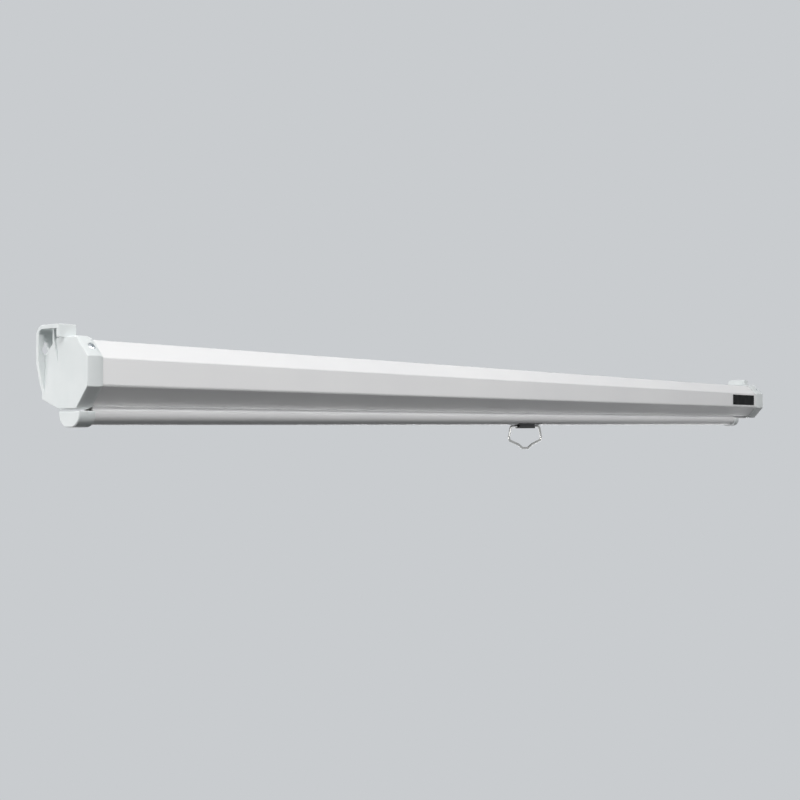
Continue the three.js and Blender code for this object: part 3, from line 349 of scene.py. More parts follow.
def screen_cloth(name, wound):
    """The cloth's finish. Hanging cloth is patterned across X and Z, wound cloth along its length."""
    made, tree, shader, place = start_finish(name, "F2F2F0", roughness=0.86)
    split = add(tree, "ShaderNodeSeparateXYZ", {"Vector": place}).outputs
    length = split["Z"]
    if wound:
        length = add(tree, "ShaderNodeAttribute", attribute_name="along").outputs["Fac"]
    turns = [maths(tree, "MULTIPLY", run, 2 * math.pi / (WEAVE_MM * MM)) for run in (split["X"], length)]
    weave = maths(tree, "MULTIPLY", *[maths(tree, "SINE", turn) for turn in turns])
    drift = drifting(tree, place, size_mm=220.0)
    coat = blended(tree, drift, "F4F4F2", "EFEFEC")
    worn = between(tree, weave, 0.0, 0.10, start=-1.0, end=1.0)
    tree.links.new(blended(tree, worn, coat, "DAD9D4"), shader.inputs["Base Color"])
    glossed(tree, shader, drift, 0.82, 0.90, start=0.0, end=1.0)
    shader.inputs["Sheen Weight"].default_value = 0.12
    shader.inputs["Sheen Roughness"].default_value = 0.5
    bumped(tree, shader, weave, depth_mm=0.03, strength=0.6)
    return made


hanging_cloth = screen_cloth("matt_white_screen_cloth", wound=False)
wound_cloth = screen_cloth("wound_screen_cloth", wound=True)
print("made", hanging_cloth.name, "and", wound_cloth.name)

# %% [markdown]
# ## Rounded copies of CAD pieces
# Most rigid pieces have the right shape in CAD, but with knife edges. Light never falls on such an
# edge, so it looks false. The first helper takes a copy of a CAD piece and joins its flat triangles
# into whole faces. The next ones find its sharp edges and roll them over with a bevel, whose faces
# get the attribute edge. The CAD piece itself is never touched.

# %% Copy a piece and roll its edges over
SAME_PLACE = 1e-6  # metres: corners that are nearer are one corner
FLAT_TURN = math.radians(0.8)  # faces that turn less make one flat face
SHARP_TURN = math.radians(34)  # edges that turn more are sharp, and the sides of round forms turn less


def merged_copy(node):
    """A CAD node's mesh as one closed bmesh, with flat areas joined into whole faces."""
    bm = bmesh.new()
    bm.from_mesh(nodes[node].data)
    bmesh.ops.remove_doubles(bm, verts=bm.verts, dist=SAME_PLACE)
    bmesh.ops.dissolve_limit(bm, angle_limit=FLAT_TURN, verts=bm.verts, edges=bm.edges)
    return bm


def sharp_edges(bm, wanted=lambda edge: True):
    """The sharp edges that pass a test."""
    return [e for e in bm.edges if e.is_manifold and e.calc_face_angle() > SHARP_TURN and wanted(e)]


def roll_over(bm, edges, width_mm, segments=3, clamp=True):
    """Rounds these edges and marks the new faces. Clamping narrows all of them where one is tight."""
    if not edges:
        return
    layer = bm.faces.layers.float.get("edge") or bm.faces.layers.float.new("edge")
    made = bmesh.ops.bevel(
        bm, geom=edges, offset=width_mm * MM, offset_type="OFFSET", segments=segments,
        profile=0.5, affect="EDGES", clamp_overlap=clamp,
    )
    for face in made["faces"]:
        face[layer] = 1.0


def is_rolled(edge, layer):
    """Whether an edge belongs to a part that was rolled over."""
    return bool(layer) and any(f[layer] > 0.5 for f in edge.link_faces)


print("sharp means over", round(math.degrees(SHARP_TURN)), "degrees")

# %% [markdown]
# ## Room for a rounding
# An end cap has broad faces and thin walls. One rounding for all its edges would be too small on
# the broad faces, or fold over itself on the thin walls. So each edge is asked how much room it has:
# how far the flat areas beside it reach. Those areas come first, as one can be made of many faces.

# %% Find the flat areas
SAME_PLANE = 0.9995  # the cosine of the turn, from which two neighbours count as one flat area


def flat_areas(bm):
    """For each face, the border edges of the whole flat area that it belongs to."""
    borders = {}
    for start in bm.faces:
        if start in borders:
            continue
        area, todo, border = {start}, [start], set()
        while todo:
            face = todo.pop()
            for edge in face.edges:
                beyond = [f for f in edge.link_faces if f is not face]
                if beyond and beyond[0].normal.dot(face.normal) > SAME_PLANE:
                    if beyond[0] not in area:
                        area.add(beyond[0])
                        todo.append(beyond[0])
                else:
                    border.add(edge)
        for face in area:
            borders[face] = border
    return borders


print("flat area helper ready")

# %% [markdown]
# From a few spots on the edge, a line then runs inwards over each flat area to where it meets the
# border. Edges with enough room are rolled over widely, and the tight ones finely.

# %% Measure the room and soften a moulding
PROBES = (0.08, 0.3, 0.5, 0.7, 0.92)  # the spots on an edge, as shares of its length
ROOM_NEEDED = 2.3  # in roundings, because the far edge is rounded too


def room_beside(edge, borders):
    """The least distance from an edge, over its two flat areas, to the border on their far side."""
    least = math.inf
    for corner in edge.link_loops:
        start = corner.vert.co
        run = corner.link_loop_next.vert.co - start
        along = run.normalized()
        inward = corner.face.normal.cross(along)
        for share in PROBES:
            here = start + run * share
            for far in borders[corner.face] - {edge}:
                (pu, pv), (qu, qv) = [
                    ((v.co - here).dot(inward), (v.co - here).dot(along)) for v in far.verts
                ]
                if pv * qv < 0:
                    reach = pu - pv * (qu - pu) / (qv - pv)
                    if reach > SAME_PLACE:
                        least = min(least, reach)
    return least


def soften(bm, wide_mm, fine_mm):
    """Rolls a moulding's outer edges over widely where there is room, and its tight ones finely."""
    for width, segments in ((wide_mm, 4), (fine_mm, 2)):
        layer = bm.faces.layers.float.get("edge")
        borders = flat_areas(bm)
        edges = [
            e for e in sharp_edges(bm, lambda e: e.is_convex)
            if room_beside(e, borders) > ROOM_NEEDED * width * MM and not is_rolled(e, layer)
        ]
        roll_over(bm, edges, width, segments, clamp=False)


print("an edge needs", ROOM_NEEDED, "times its rounding beside it")

# %% [markdown]
# ## Shading, and a place in the assembly
# A round form that is made of narrow strips has to look smooth, while a fold stays crisp. A gentle
# turn between two faces is therefore smooth, and a larger one only on rolled edges and narrow strips.
# The mesh is then made plain, because an exported model carries no modifiers, gets its finish, and
# rides on the same body as the CAD nodes that it stands for.

# %% Shade a piece and seat it
ROLLED_TURN = math.radians(60)  # rolled edges are smooth up to here
NARROW_AREA = 25 * MM * MM  # smaller faces are strips of a round form


def shade_by_form(bm, gentle):
    """Smooths what is round, and every turn under gentle, in degrees. The rest stays crisp."""
    layer = bm.faces.layers.float.get("edge")
    for face in bm.faces:
        face.smooth = True
    for edge in bm.edges:
        if not edge.is_manifold:
            continue
        turn = edge.calc_face_angle()
        rolled = is_rolled(edge, layer) and turn < ROLLED_TURN
        narrow = min(f.calc_area() for f in edge.link_faces) < NARROW_AREA
        edge.smooth = turn < math.radians(gentle) or rolled or (narrow and turn < SHARP_TURN)


def settle(piece):
    """Turns a piece with modifiers into a plain mesh."""
    bpy.context.view_layer.update()
    depsgraph = bpy.context.evaluated_depsgraph_get()
    mesh = bpy.data.meshes.new_from_object(
        piece.evaluated_get(depsgraph), preserve_all_data_layers=True, depsgraph=depsgraph,
    )
    piece.modifiers.clear()
    piece.data = mesh
    mesh.name = piece.name


def as_piece(bm, name, gentle=20):
    """A bmesh as an object, shaded by its form, with fair normals."""
    bmesh.ops.recalc_face_normals(bm, faces=bm.faces)
    shade_by_form(bm, gentle)
    mesh = bpy.data.meshes.new(name)
    bm.to_mesh(mesh)
    bm.free()
    piece = put(name, mesh)
    fair = piece.modifiers.new("fair_normals", "WEIGHTED_NORMAL")
    fair.keep_sharp = True
    settle(piece)
    return piece


def seat(piece, body, finish, slot, *stands_for):
    """Gives a piece its finish, the body it rides on, and the CAD nodes it stands for."""
    piece.data.materials.clear()
    piece.data.materials.append(finish)
    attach(piece, body)
    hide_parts(*stands_for)


print("piece helpers ready")

# %% [markdown]
# ## The housing's skin
# The real skin is one strip of metal folded lengthwise into an eight-sided tube, with a slot below
# for the cloth. Each fold has a bend radius, larger outside than inside. The folds run along X, so
# they are easy to pick out of the merged copy: outer folds are convex and inner ones concave. The
# small lips beside the slot stay as they are, because they are thinner than a bend.

# %% Fold the skin
OUTER_BEND = 1.7
INNER_BEND = 1.0
FOLD_LENGTH = 1.0  # metres: only the folds are longer
# The slot and its lips, in metres: below this height and between these depths
LIPS_TOP = -0.0300
LIPS_FRONT, LIPS_BACK = -0.0520, -0.0365

skin = merged_copy("case_shell")


def is_fold(edge):
    """Whether an edge runs along X and is as long as the skin."""
    along = (edge.verts[0].co - edge.verts[1].co).normalized().x
    return abs(along) > 0.99 and edge.calc_length() > FOLD_LENGTH


def by_slot(edge):
    """Whether an edge belongs to the lips."""
    middle = (edge.verts[0].co + edge.verts[1].co) / 2
    return middle.z < LIPS_TOP and LIPS_FRONT < middle.y < LIPS_BACK


folds = sharp_edges(skin, lambda e: is_fold(e) and not by_slot(e))
outer = [e for e in folds if e.is_convex]
inner = [e for e in folds if not e.is_convex]
print("outer folds:", len(outer), "inner folds:", len(inner))
roll_over(skin, outer, OUTER_BEND, segments=5)
roll_over(skin, [e for e in inner if e.is_valid], INNER_BEND, segments=4)
seat(as_piece(skin, "case_skin"), "case", enamel, "case_enamel", "case_shell")

# %% [markdown]
# ## End caps, hangers and other moulded or stamped pieces
# Each of these keeps its CAD shape and gets the edge radius that its making leaves: most on thick
# mouldings, least on stamped steel. A short list says which piece gets how much, on which body it
# rides and what it is made of.

# %% List the rigid pieces
# Each row: CAD node, rounding in millimetres, body, finish, slot
ROUNDED = [
    ("left_end_cap", 0.7, "case", cap_plastic, "cap_plastic"),
    ("right_end_cap", 0.7, "case", cap_plastic, "cap_plastic"),
    ("label_plate", 0.3, "case", label_foil, "black_plastic"),
    ("left_bracket", 0.3, "case", zinc, "zinc_steel"),
    ("right_bracket", 0.3, "case", zinc, "zinc_steel"),
    ("left_bush", 0.3, "case", nylon, "natural_nylon"),
    ("ratchet_wheel", 0.25, "case", zinc, "zinc_steel"),
    ("spring_shaft", 0.4, "case", zinc, "zinc_steel"),
    ("roller_tube", 0.2, "roller", aluminium, "roller_aluminium"),
    ("left_plug", 0.5, "roller", nylon, "natural_nylon"),
    ("left_pin", 0.4, "roller", zinc, "zinc_steel"),
    ("right_plug", 0.5, "roller", nylon, "natural_nylon"),
    ("pawl_pin_upper", 0.2, "roller", zinc, "zinc_steel"),
    ("pawl_pin_lower", 0.2, "roller", zinc, "zinc_steel"),
    ("pawl_upper", 0.3, "pawl_upper", zinc, "zinc_steel"),
    ("pawl_lower", 0.3, "pawl_lower", zinc, "zinc_steel"),
    ("weight_bar", 0.35, "bar", enamel, "case_enamel"),
    ("bar_cap_left", 0.5, "bar", cap_plastic, "cap_plastic"),
    ("bar_cap_right", 0.5, "bar", cap_plastic, "cap_plastic"),
    ("handle_bracket", 0.5, "bar", black_plastic, "black_plastic"),
]
print(len(ROUNDED), "rigid pieces get round edges")

# %% [markdown]
# The caps are mouldings with thin walls, so they get a second, finer rounding where the first has no
# room. The weight bar's two caps also have a much softer outer rim, which is found by its place.

# %% Round the rigid pieces over
MOULDED = ("left_end_cap", "right_end_cap", "bar_cap_left", "bar_cap_right")
FINE_ROUNDING = 0.25
SOFT_RIM = 2.2
# Where the soft rims lie along X, in metres
SOFT_RIMS = {
    "bar_cap_left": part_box("bar_cap_left")[0][0],
    "bar_cap_right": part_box("bar_cap_right")[1][0],
}
ON_PLANE = 1e-5  # metres


def at_x(x):
    """A test for edges that lie in the plane at x."""
    return lambda edge: all(abs(v.co.x - x) < ON_PLANE for v in edge.verts)


for node, rounding, body, finish, slot in ROUNDED:
    shape = merged_copy(node)
    if node in SOFT_RIMS:
        roll_over(shape, sharp_edges(shape, at_x(SOFT_RIMS[node])), SOFT_RIM, segments=5)
    if node in MOULDED:
        soften(shape, rounding, FINE_ROUNDING)
    else:
        roll_over(shape, sharp_edges(shape), rounding)
    piece = as_piece(shape, node + "_rounded")
    seat(piece, body, finish, slot, node)
    print(node, "faces", len(piece.data.polygons))

# %% [markdown]
# ## Pieces that stay as they are
# The steady, the anchor and the hem rod sit deep inside, and their plain round shapes are right.
# They only get their finishes.

# %% Finish the hidden pieces
for node, finish in {
    "spring_anchor": black_plastic,
    "shaft_steady": nylon,
    "hem_rod": zinc,
}.items():
    nodes[node].data.materials.clear()
    nodes[node].data.materials.append(finish)
    print(node, "gets", finish.name)

# %% [markdown]
# ## Geometry Nodes
# Screws, the coil spring, the bent handle and the wound cloth all follow a rule, so each is grown by
# a tree of nodes. A tree here gets named inputs for its sizes, ends in Realize Instances and Set
# Material, and is turned into a plain mesh at once, because an exported model carries no trees.

# %% Helpers for trees
CRISP_TURN = 40  # degrees: what a tree grows is smooth up to here


def new_tree(name, **sizes):
    """A Geometry Nodes tree with an input for each named size, and what its inputs give."""
    tree = bpy.data.node_groups.new(name, "GeometryNodeTree")
    tree.interface.new_socket("Geometry", in_out="INPUT", socket_type="NodeSocketGeometry")
    tree.interface.new_socket("Finish", in_out="INPUT", socket_type="NodeSocketMaterial")
    for label, value in sizes.items():
        kind = "NodeSocketInt" if isinstance(value, int) else "NodeSocketFloat"
        tree.interface.new_socket(label, in_out="INPUT", socket_type=kind).default_value = value
    tree.interface.new_socket("Geometry", in_out="OUTPUT", socket_type="NodeSocketGeometry")
    return tree, add(tree, "NodeGroupInput").outputs


def close_tree(tree, shape, finish):
    """Ends a tree: real copies, smooth faces, a finish, and the output."""
    real = add(tree, "GeometryNodeRealizeInstances", {"Geometry": shape}).outputs[0]
    smooth = add(tree, "GeometryNodeSetShadeSmooth", {"Geometry": real}).outputs[0]
    painted = add(tree, "GeometryNodeSetMaterial", {"Geometry": smooth, "Material": finish}).outputs[0]
    add(tree, "NodeGroupOutput", {"Geometry": painted})


def grow(name, tree, start, finish, **sizes):
    """Runs a tree on a start mesh and keeps the result as a plain mesh."""
    piece = put(name, start)
    modifier = piece.modifiers.new("grow", "NODES")
    modifier.node_group = tree
    sockets = {i.name: i.identifier for i in tree.interface.items_tree if i.in_out == "INPUT"}
    for label, value in dict(sizes, Finish=finish).items():
        modifier[sockets[label]] = value
    settle(piece)
    piece.data.set_sharp_from_angle(angle=math.radians(CRISP_TURN))
    print(name, "grown with", len(piece.data.polygons), "faces")
    return piece


def points_mesh(name, points, edges=()):
    """A mesh of loose points or of a line of edges, as the start of a tree."""
    mesh = bpy.data.meshes.new(name)
    mesh.from_pydata([tuple(p) for p in points], list(edges), [])
    return mesh


def swept(tree, curve, profile):
    """The solid that a closed profile leaves when it runs along a curve."""
    return add(tree, "GeometryNodeCurveToMesh", {
        "Curve": curve, "Profile Curve": profile, "Fill Caps": True,
    }).outputs[0]


print("tree helpers ready")

# %% [markdown]
# ### Screws
# A pan head is a disc whose top falls away to a rounded rim, with a cross cut into it. The disc has
# rings, and each ring on top is lowered by a power of how far out it is, so that the middle stays
# flat and the rim drops fast.

# %% A screw's head
HEAD_SIDES = 40
HEAD_RINGS = 8
DOME_POWER = 3.2
DOME_FALL = 0.62  # of the head's height, at the rim
CROSS_LENGTH, CROSS_WIDTH = 1.15, 0.20  # in head radii
CROSS_DEPTH = 1.3  # in head heights, half of it above the top


def raised(tree, shape, height):
    """A shape moved up by a height."""
    return add(tree, "GeometryNodeTransform", {
        "Geometry": shape, "Translation": vector(tree, Z=height),
    }).outputs[0]


def dome(tree, radius, height):
    """The head without its cross, centred on the origin."""
    disc = add(tree, "GeometryNodeMeshCylinder", {
        "Vertices": HEAD_SIDES, "Side Segments": 1, "Fill Segments": HEAD_RINGS,
        "Radius": radius, "Depth": height,
    }, fill_type="TRIANGLE_FAN").outputs["Mesh"]
    at = add(tree, "GeometryNodeInputPosition").outputs[0]
    parts = add(tree, "ShaderNodeSeparateXYZ", {"Vector": at}).outputs
    flat = vector(tree, X=parts["X"], Y=parts["Y"])
    out = add(tree, "ShaderNodeVectorMath", {0: flat}, operation="LENGTH").outputs["Value"]
    curve = maths(tree, "POWER", maths(tree, "DIVIDE", out, radius), DOME_POWER)
    down = maths(tree, "MULTIPLY", maths(tree, "MULTIPLY", curve, height), -DOME_FALL)
    top = add(tree, "FunctionNodeCompare", {0: parts["Z"], 1: 0.0}, operation="GREATER_THAN").outputs[0]
    return add(tree, "GeometryNodeSetPosition", {
        "Geometry": disc, "Selection": top, "Offset": vector(tree, Z=down),
    }).outputs[0]


def cross(tree, radius, height):
    """Two crossed bars as one solid, to cut out of the head."""
    both = add(tree, "GeometryNodeMeshBoolean", operation="UNION", solver="MANIFOLD")
    long = maths(tree, "MULTIPLY", radius, CROSS_LENGTH)
    thin = maths(tree, "MULTIPLY", radius, CROSS_WIDTH)
    deep = maths(tree, "MULTIPLY", height, CROSS_DEPTH)
    for wide, narrow in ((long, thin), (thin, long)):
        size = vector(tree, X=wide, Y=narrow, Z=deep)
        arm = add(tree, "GeometryNodeMeshCube", {"Size": size}).outputs["Mesh"]
        tree.links.new(arm, both.inputs["Mesh 2"])
    return both.outputs["Mesh"]


print("a screw's rim lies", DOME_FALL, "of its height below the top")

# %% [markdown]
# The tree joins such a head and a shank, and puts that screw on every point it is given. A point
# carries the direction that its screw faces. A seed turns the crosses, as no fitter lines them up.

# %% The tree of a cross-head screw
SHANK_SIDES = 24


def facing_and_turned(tree, seed):
    """Each point's own direction, and a turn about it of up to a quarter."""
    facing = add(tree, "GeometryNodeInputNamedAttribute", {"Name": "facing"}, data_type="FLOAT_VECTOR")
    aim = add(tree, "FunctionNodeAlignRotationToVector", {"Vector": facing.outputs["Attribute"]}, axis="Z")
    turn = add(tree, "FunctionNodeRandomValue", {2: 0.0, 3: math.pi / 2, "Seed": seed}, data_type="FLOAT")
    spin = add(tree, "FunctionNodeEulerToRotation", {0: vector(tree, Z=turn.outputs[1])})
    return add(tree, "FunctionNodeRotateRotation", {
        0: aim.outputs[0], 1: spin.outputs[0],
    }, rotation_space="LOCAL").outputs[0]


def screw_tree():
    tree, given = new_tree(
        "cross_head_screws", head_radius=3.2 * MM, head_height=1.6 * MM, shank_radius=1.6 * MM,
        shank_length=6.0 * MM, seed=4,
    )
    radius, height = given["head_radius"], given["head_height"]
    half = maths(tree, "MULTIPLY", height, 0.5)
    head = add(tree, "GeometryNodeMeshBoolean", {
        "Mesh 1": dome(tree, radius, height), "Mesh 2": raised(tree, cross(tree, radius, height), half),
    }, operation="DIFFERENCE", solver="MANIFOLD").outputs["Mesh"]
    shank = add(tree, "GeometryNodeMeshCylinder", {
        "Vertices": SHANK_SIDES, "Radius": given["shank_radius"], "Depth": given["shank_length"],
    }).outputs["Mesh"]
    sunk = maths(tree, "MULTIPLY", given["shank_length"], -0.5)
    whole = add(tree, "GeometryNodeJoinGeometry")
    for part in (raised(tree, head, half), raised(tree, shank, sunk)):
        tree.links.new(part, whole.inputs[0])
    placed = add(tree, "GeometryNodeInstanceOnPoints", {
        "Points": given["Geometry"], "Instance": whole.outputs[0],
        "Rotation": facing_and_turned(tree, given["seed"]),
    }).outputs[0]
    close_tree(tree, placed, given["Finish"])
    return tree


screws = screw_tree()
print("screw tree has", len(screws.nodes), "nodes")

# %% [markdown]
# The places come from the CAD screws, so the new ones sit exactly in their holes. A screw's largest
# flat area lies across its axis, so that area's direction is the axis. The wide end is the head.

# %% Measure the CAD screws
HEAD_SHARE = 0.8  # what is wider than this share of the whole belongs to the head


def main_direction(mesh):
    """The direction in which most of a mesh's flat area faces."""
    areas = {}
    for face in mesh.polygons:
        way = tuple(round(c, 2) for c in face.normal)
        areas[way] = areas.get(way, 0.0) + face.area
    return Vector(max(areas, key=areas.get)).normalized()


def screw_facts(node):
    """Where a CAD screw's head sits, which way it faces, and its sizes."""
    mesh = nodes[node].data
    spots = [v.co.copy() for v in mesh.vertices]
    middle = sum(spots, Vector()) / len(spots)
    facing = main_direction(mesh)
    along = [(s - middle).dot(facing) for s in spots]
    across = [(s - middle) - facing * a for s, a in zip(spots, along)]
    middle += sum(across, Vector()) / len(spots)
    out = [a.length for a in across]
    wide = max(out)
    head = [a for a, o in zip(along, out) if o > HEAD_SHARE * wide]
    if sum(head) / len(head) < (min(along) + max(along)) / 2:
        facing = -facing
        along = [-a for a in along]
        head = [-a for a in head]
    thin = [o for a, o in zip(along, out) if a < min(head) - ON_PLANE]
    return {
        "seat": middle + facing * min(head), "facing": facing, "head_radius": wide,
        "head_height": max(along) - min(head), "shank_radius": max(thin),
        "shank_length": min(head) - min(along),
    }


print("a cap screw faces", screw_facts("left_cap_screw_upper")["facing"])

# %% [markdown]
# All the screws of a kind are alike, so their sizes are those of the first, and share one mesh.

# %% Put the new screws in
SIZES = ("head_radius", "head_height", "shank_radius", "shank_length")


def fit_screws(name, cad_screws, body, seed):
    """One piece with a screw in the place of each of these CAD screws."""
    facts = [screw_facts(n) for n in cad_screws]
    start = points_mesh(name, [f["seat"] for f in facts])
    facing = start.attributes.new("facing", "FLOAT_VECTOR", "POINT")
    for i, f in enumerate(facts):
        facing.data[i].vector = f["facing"]
    sizes = {k: facts[0][k] for k in SIZES}
    print(name, "in mm", {k: round(v / MM, 2) for k, v in sizes.items()})
    seat(grow(name, screws, start, zinc, seed=seed, **sizes), body, zinc, "zinc_steel", *cad_screws)


for kind, seed in (("cap_screw", 4), ("bracket_screw", 7)):
    four = [f"{side}_{kind}_{level}" for side in ("left", "right") for level in ("upper", "lower")]
    fit_screws(kind + "s", four, "case", seed)
fit_screws("handle_screws", ["handle_screw_left", "handle_screw_right"], "bar", 2)

# %% [markdown]
# ### The pull handle
# The handle is one bent wire. A line through its corners is enough: the tree rounds each corner to
# the bend of the wire, and sweeps a circle along the line. It replaces the CAD wire, which has the
# same route with fewer sides.

# %% Bend the wire
WIRE_RADIUS = 1.75
BEND_RADIUS = 5.2
WIRE_SIDES = 24
BEND_STEPS = 14
PIVOT = Vector((-47.3, -43.25, -51.85)) * MM  # the middle between the wire's two ends
HANDLE_HALF = [(13, 0), (40, 0), (46.4, 20.3), (19, 27.4), (7.1, 33)]  # across and down from there


def wire_tree():
    tree, given = new_tree("bent_wire", wire_radius=WIRE_RADIUS * MM, bend_radius=BEND_RADIUS * MM)
    line = add(tree, "GeometryNodeMeshToCurve", {"Mesh": given["Geometry"]}).outputs[0]
    bent = add(tree, "GeometryNodeFilletCurve", {
        "Curve": line, "Radius": given["bend_radius"], "Count": BEND_STEPS, "Limit Radius": True,
    }, mode="POLY").outputs[0]
    ring = add(tree, "GeometryNodeCurvePrimitiveCircle", {
        "Resolution": WIRE_SIDES, "Radius": given["wire_radius"],
    }).outputs[0]
    close_tree(tree, swept(tree, bent, ring), given["Finish"])
    return tree


corners = [PIVOT + Vector((-across, 0, -drop)) * MM for across, drop in HANDLE_HALF]
corners += [PIVOT + Vector((across, 0, -drop)) * MM for across, drop in reversed(HANDLE_HALF)]
route = points_mesh("pull_wire", corners, [(i, i + 1) for i in range(len(corners) - 1)])
seat(grow("pull_wire", wire_tree(), route, nickel), "handle", nickel, "nickel_wire", "pull_handle")

# %% [markdown]
# ### The torsion spring
# The spring that winds the cloth back is a long coil round the fixed shaft. A spiral of equal start
# and end radius is such a coil, and a circle swept along it is its wire. It grows upright, so it is
# then laid down along the roller's axis.

# %% Wind the spring
COIL_RADIUS = 9
COIL_WIRE_RADIUS = 1
COIL_TURNS = 34.0
COIL_LENGTH = 149.6
COIL_START = 655.8
COIL_STEPS = 32  # for each turn
COIL_WIRE_SIDES = 10
ROLLER_Y, ROLLER_Z = -23.0, -1.45


def coil_tree():
    tree, given = new_tree(
        "coil", coil_radius=COIL_RADIUS * MM, wire_radius=COIL_WIRE_RADIUS * MM, turns=COIL_TURNS,
        length=COIL_LENGTH * MM,
    )
    spiral = add(tree, "GeometryNodeCurveSpiral", {
        "Resolution": COIL_STEPS, "Rotations": given["turns"], "Start Radius": given["coil_radius"],
        "End Radius": given["coil_radius"], "Height": given["length"],
    }).outputs[0]
    ring = add(tree, "GeometryNodeCurvePrimitiveCircle", {
        "Resolution": COIL_WIRE_SIDES, "Radius": given["wire_radius"],
    }).outputs[0]
    close_tree(tree, swept(tree, spiral, ring), given["Finish"])
    return tree


def lay_along_x(piece, start_mm):
    """Lays a piece that was grown along Z down on the roller's axis, from start_mm on."""
    turned = Matrix.Rotation(math.radians(90), 4, "Y")
    piece.data.transform(Matrix.Translation(Vector((start_mm, ROLLER_Y, ROLLER_Z)) * MM) @ turned)


coil = grow("torsion_coil", coil_tree(), points_mesh("coil", []), spring_steel)
lay_along_x(coil, COIL_START)
seat(coil, "case", spring_steel, "spring_steel", "torsion_spring")

# %% [markdown]
# ### The wound cloth
# The cloth on the roller is a spiral of many turns, and its layers show at the roll's ends. A spiral
# from the tube to the outside of the roll, with a thin upright strip swept along it, is that roll.
# The length along the spiral is kept on the points, for the weave.

# %% Wind the cloth
CLOTH_FROM, CLOTH_TO = -835.9, 735.1
CLOTH_THICK = 0.26
TURNS = 14.5
ROLL_INNER, ROLL_OUTER = 15.5, 19.6
ROLL_STEPS = 64  # for each turn


def roll_tree():
    tree, given = new_tree(
        "wound_cloth", inner_radius=ROLL_INNER * MM, outer_radius=ROLL_OUTER * MM, turns=TURNS,
        width=(CLOTH_TO - CLOTH_FROM) * MM, thickness=CLOTH_THICK * MM,
    )
    spiral = add(tree, "GeometryNodeCurveSpiral", {
        "Resolution": ROLL_STEPS, "Rotations": given["turns"], "Start Radius": given["inner_radius"],
        "End Radius": given["outer_radius"], "Height": 0.0,
    }).outputs[0]
    upright = add(tree, "GeometryNodeSetCurveNormal", {"Curve": spiral}, mode="Z_UP").outputs[0]
    run = add(tree, "GeometryNodeSplineParameter").outputs["Length"]
    marked = add(tree, "GeometryNodeStoreNamedAttribute", {
        "Geometry": upright, "Name": "along", "Value": run,
    }, data_type="FLOAT", domain="POINT").outputs[0]
    strip = add(tree, "GeometryNodeCurvePrimitiveQuadrilateral", {
        "Width": given["thickness"], "Height": given["width"],
    }).outputs[0]
    close_tree(tree, swept(tree, marked, strip), given["Finish"])
    return tree


roll = grow("screen_roll", roll_tree(), points_mesh("roll", []), wound_cloth)
lay_along_x(roll, (CLOTH_FROM + CLOTH_TO) / 2)
seat(roll, "roller", wound_cloth, "screen_fabric", "fabric_roll")

# %% [markdown]
# ## The hanging cloth
# From the front of the roll the cloth runs straight down through the slot, into the weight bar, and
# round a rod in a sewn hem. Its middle line is first drawn from the side, with many rows in the
# straight run. A hanging cloth is never quite flat, so slow upright waves keep it from looking like
# card. They fade towards the roll and the bar.

# %% Draw the cloth's line and its waves
CLOTH_Y = -43.25
HEM_Z = -40.95
HEM_RADIUS = 2.85
ABOVE_HEM = 0.9  # the straight run ends this far above the hem
ROLL_ANGLES = range(150, 179, 6)  # degrees
HEM_ANGLES = range(112, 448, 12)  # degrees
ROWS = 48
WAVE_REACH = 36.0  # the waves lie within this distance below the roller's axis
WAVE_DEPTH = 0.55
WAVES = ((61.0, 0.6, 0.0), (143.0, 0.4, 1.3))  # each one's length over 2 pi, height and shift


def cloth_line():
    """The strip's middle line as (y, z) in millimetres, from over the roll to round the hem."""
    radius = abs(CLOTH_Y - ROLLER_Y)
    line = []
    for angle in map(math.radians, ROLL_ANGLES):
        line.append((ROLLER_Y + radius * math.cos(angle), ROLLER_Z + radius * math.sin(angle)))
    end = HEM_Z + HEM_RADIUS + ABOVE_HEM
    line += [(CLOTH_Y, ROLLER_Z + (end - ROLLER_Z) * i / ROWS) for i in range(ROWS + 1)]
    for angle in map(math.radians, HEM_ANGLES):
        line.append((CLOTH_Y + HEM_RADIUS * math.cos(angle), HEM_Z + HEM_RADIUS * math.sin(angle)))
    return line


def wave(x, z):
    """How far the cloth stands forward at a place, in millimetres: most in the middle rows."""
    share = min(max((ROLLER_Z - z) / WAVE_REACH, 0.0), 1.0)
    swell = math.sin(math.pi * share) ** 2
    height = 1.0
    for length, part, shift in WAVES:
        height += part * math.sin(x / length + shift)
    return -WAVE_DEPTH * swell * height


print("the cloth's line has", len(cloth_line()), "points")

# %% [markdown]
# The strip has two faces, one half of the cloth's thickness to each side of that line, and closed
# rims, so it is a real solid and not a film. Columns repeat the line along the housing.

# %% Build the strip
COLUMNS = 90


def two_sides(line):
    """Each point of the line with the step, in y and z, from it to the cloth's face."""
    sides = []
    for i, (y, z) in enumerate(line):
        before, after = line[max(i - 1, 0)], line[min(i + 1, len(line) - 1)]
        run = Vector((after[0] - before[0], after[1] - before[1])).normalized()
        sides.append((y, z, -run.y * CLOTH_THICK / 2, run.x * CLOTH_THICK / 2))
    return sides


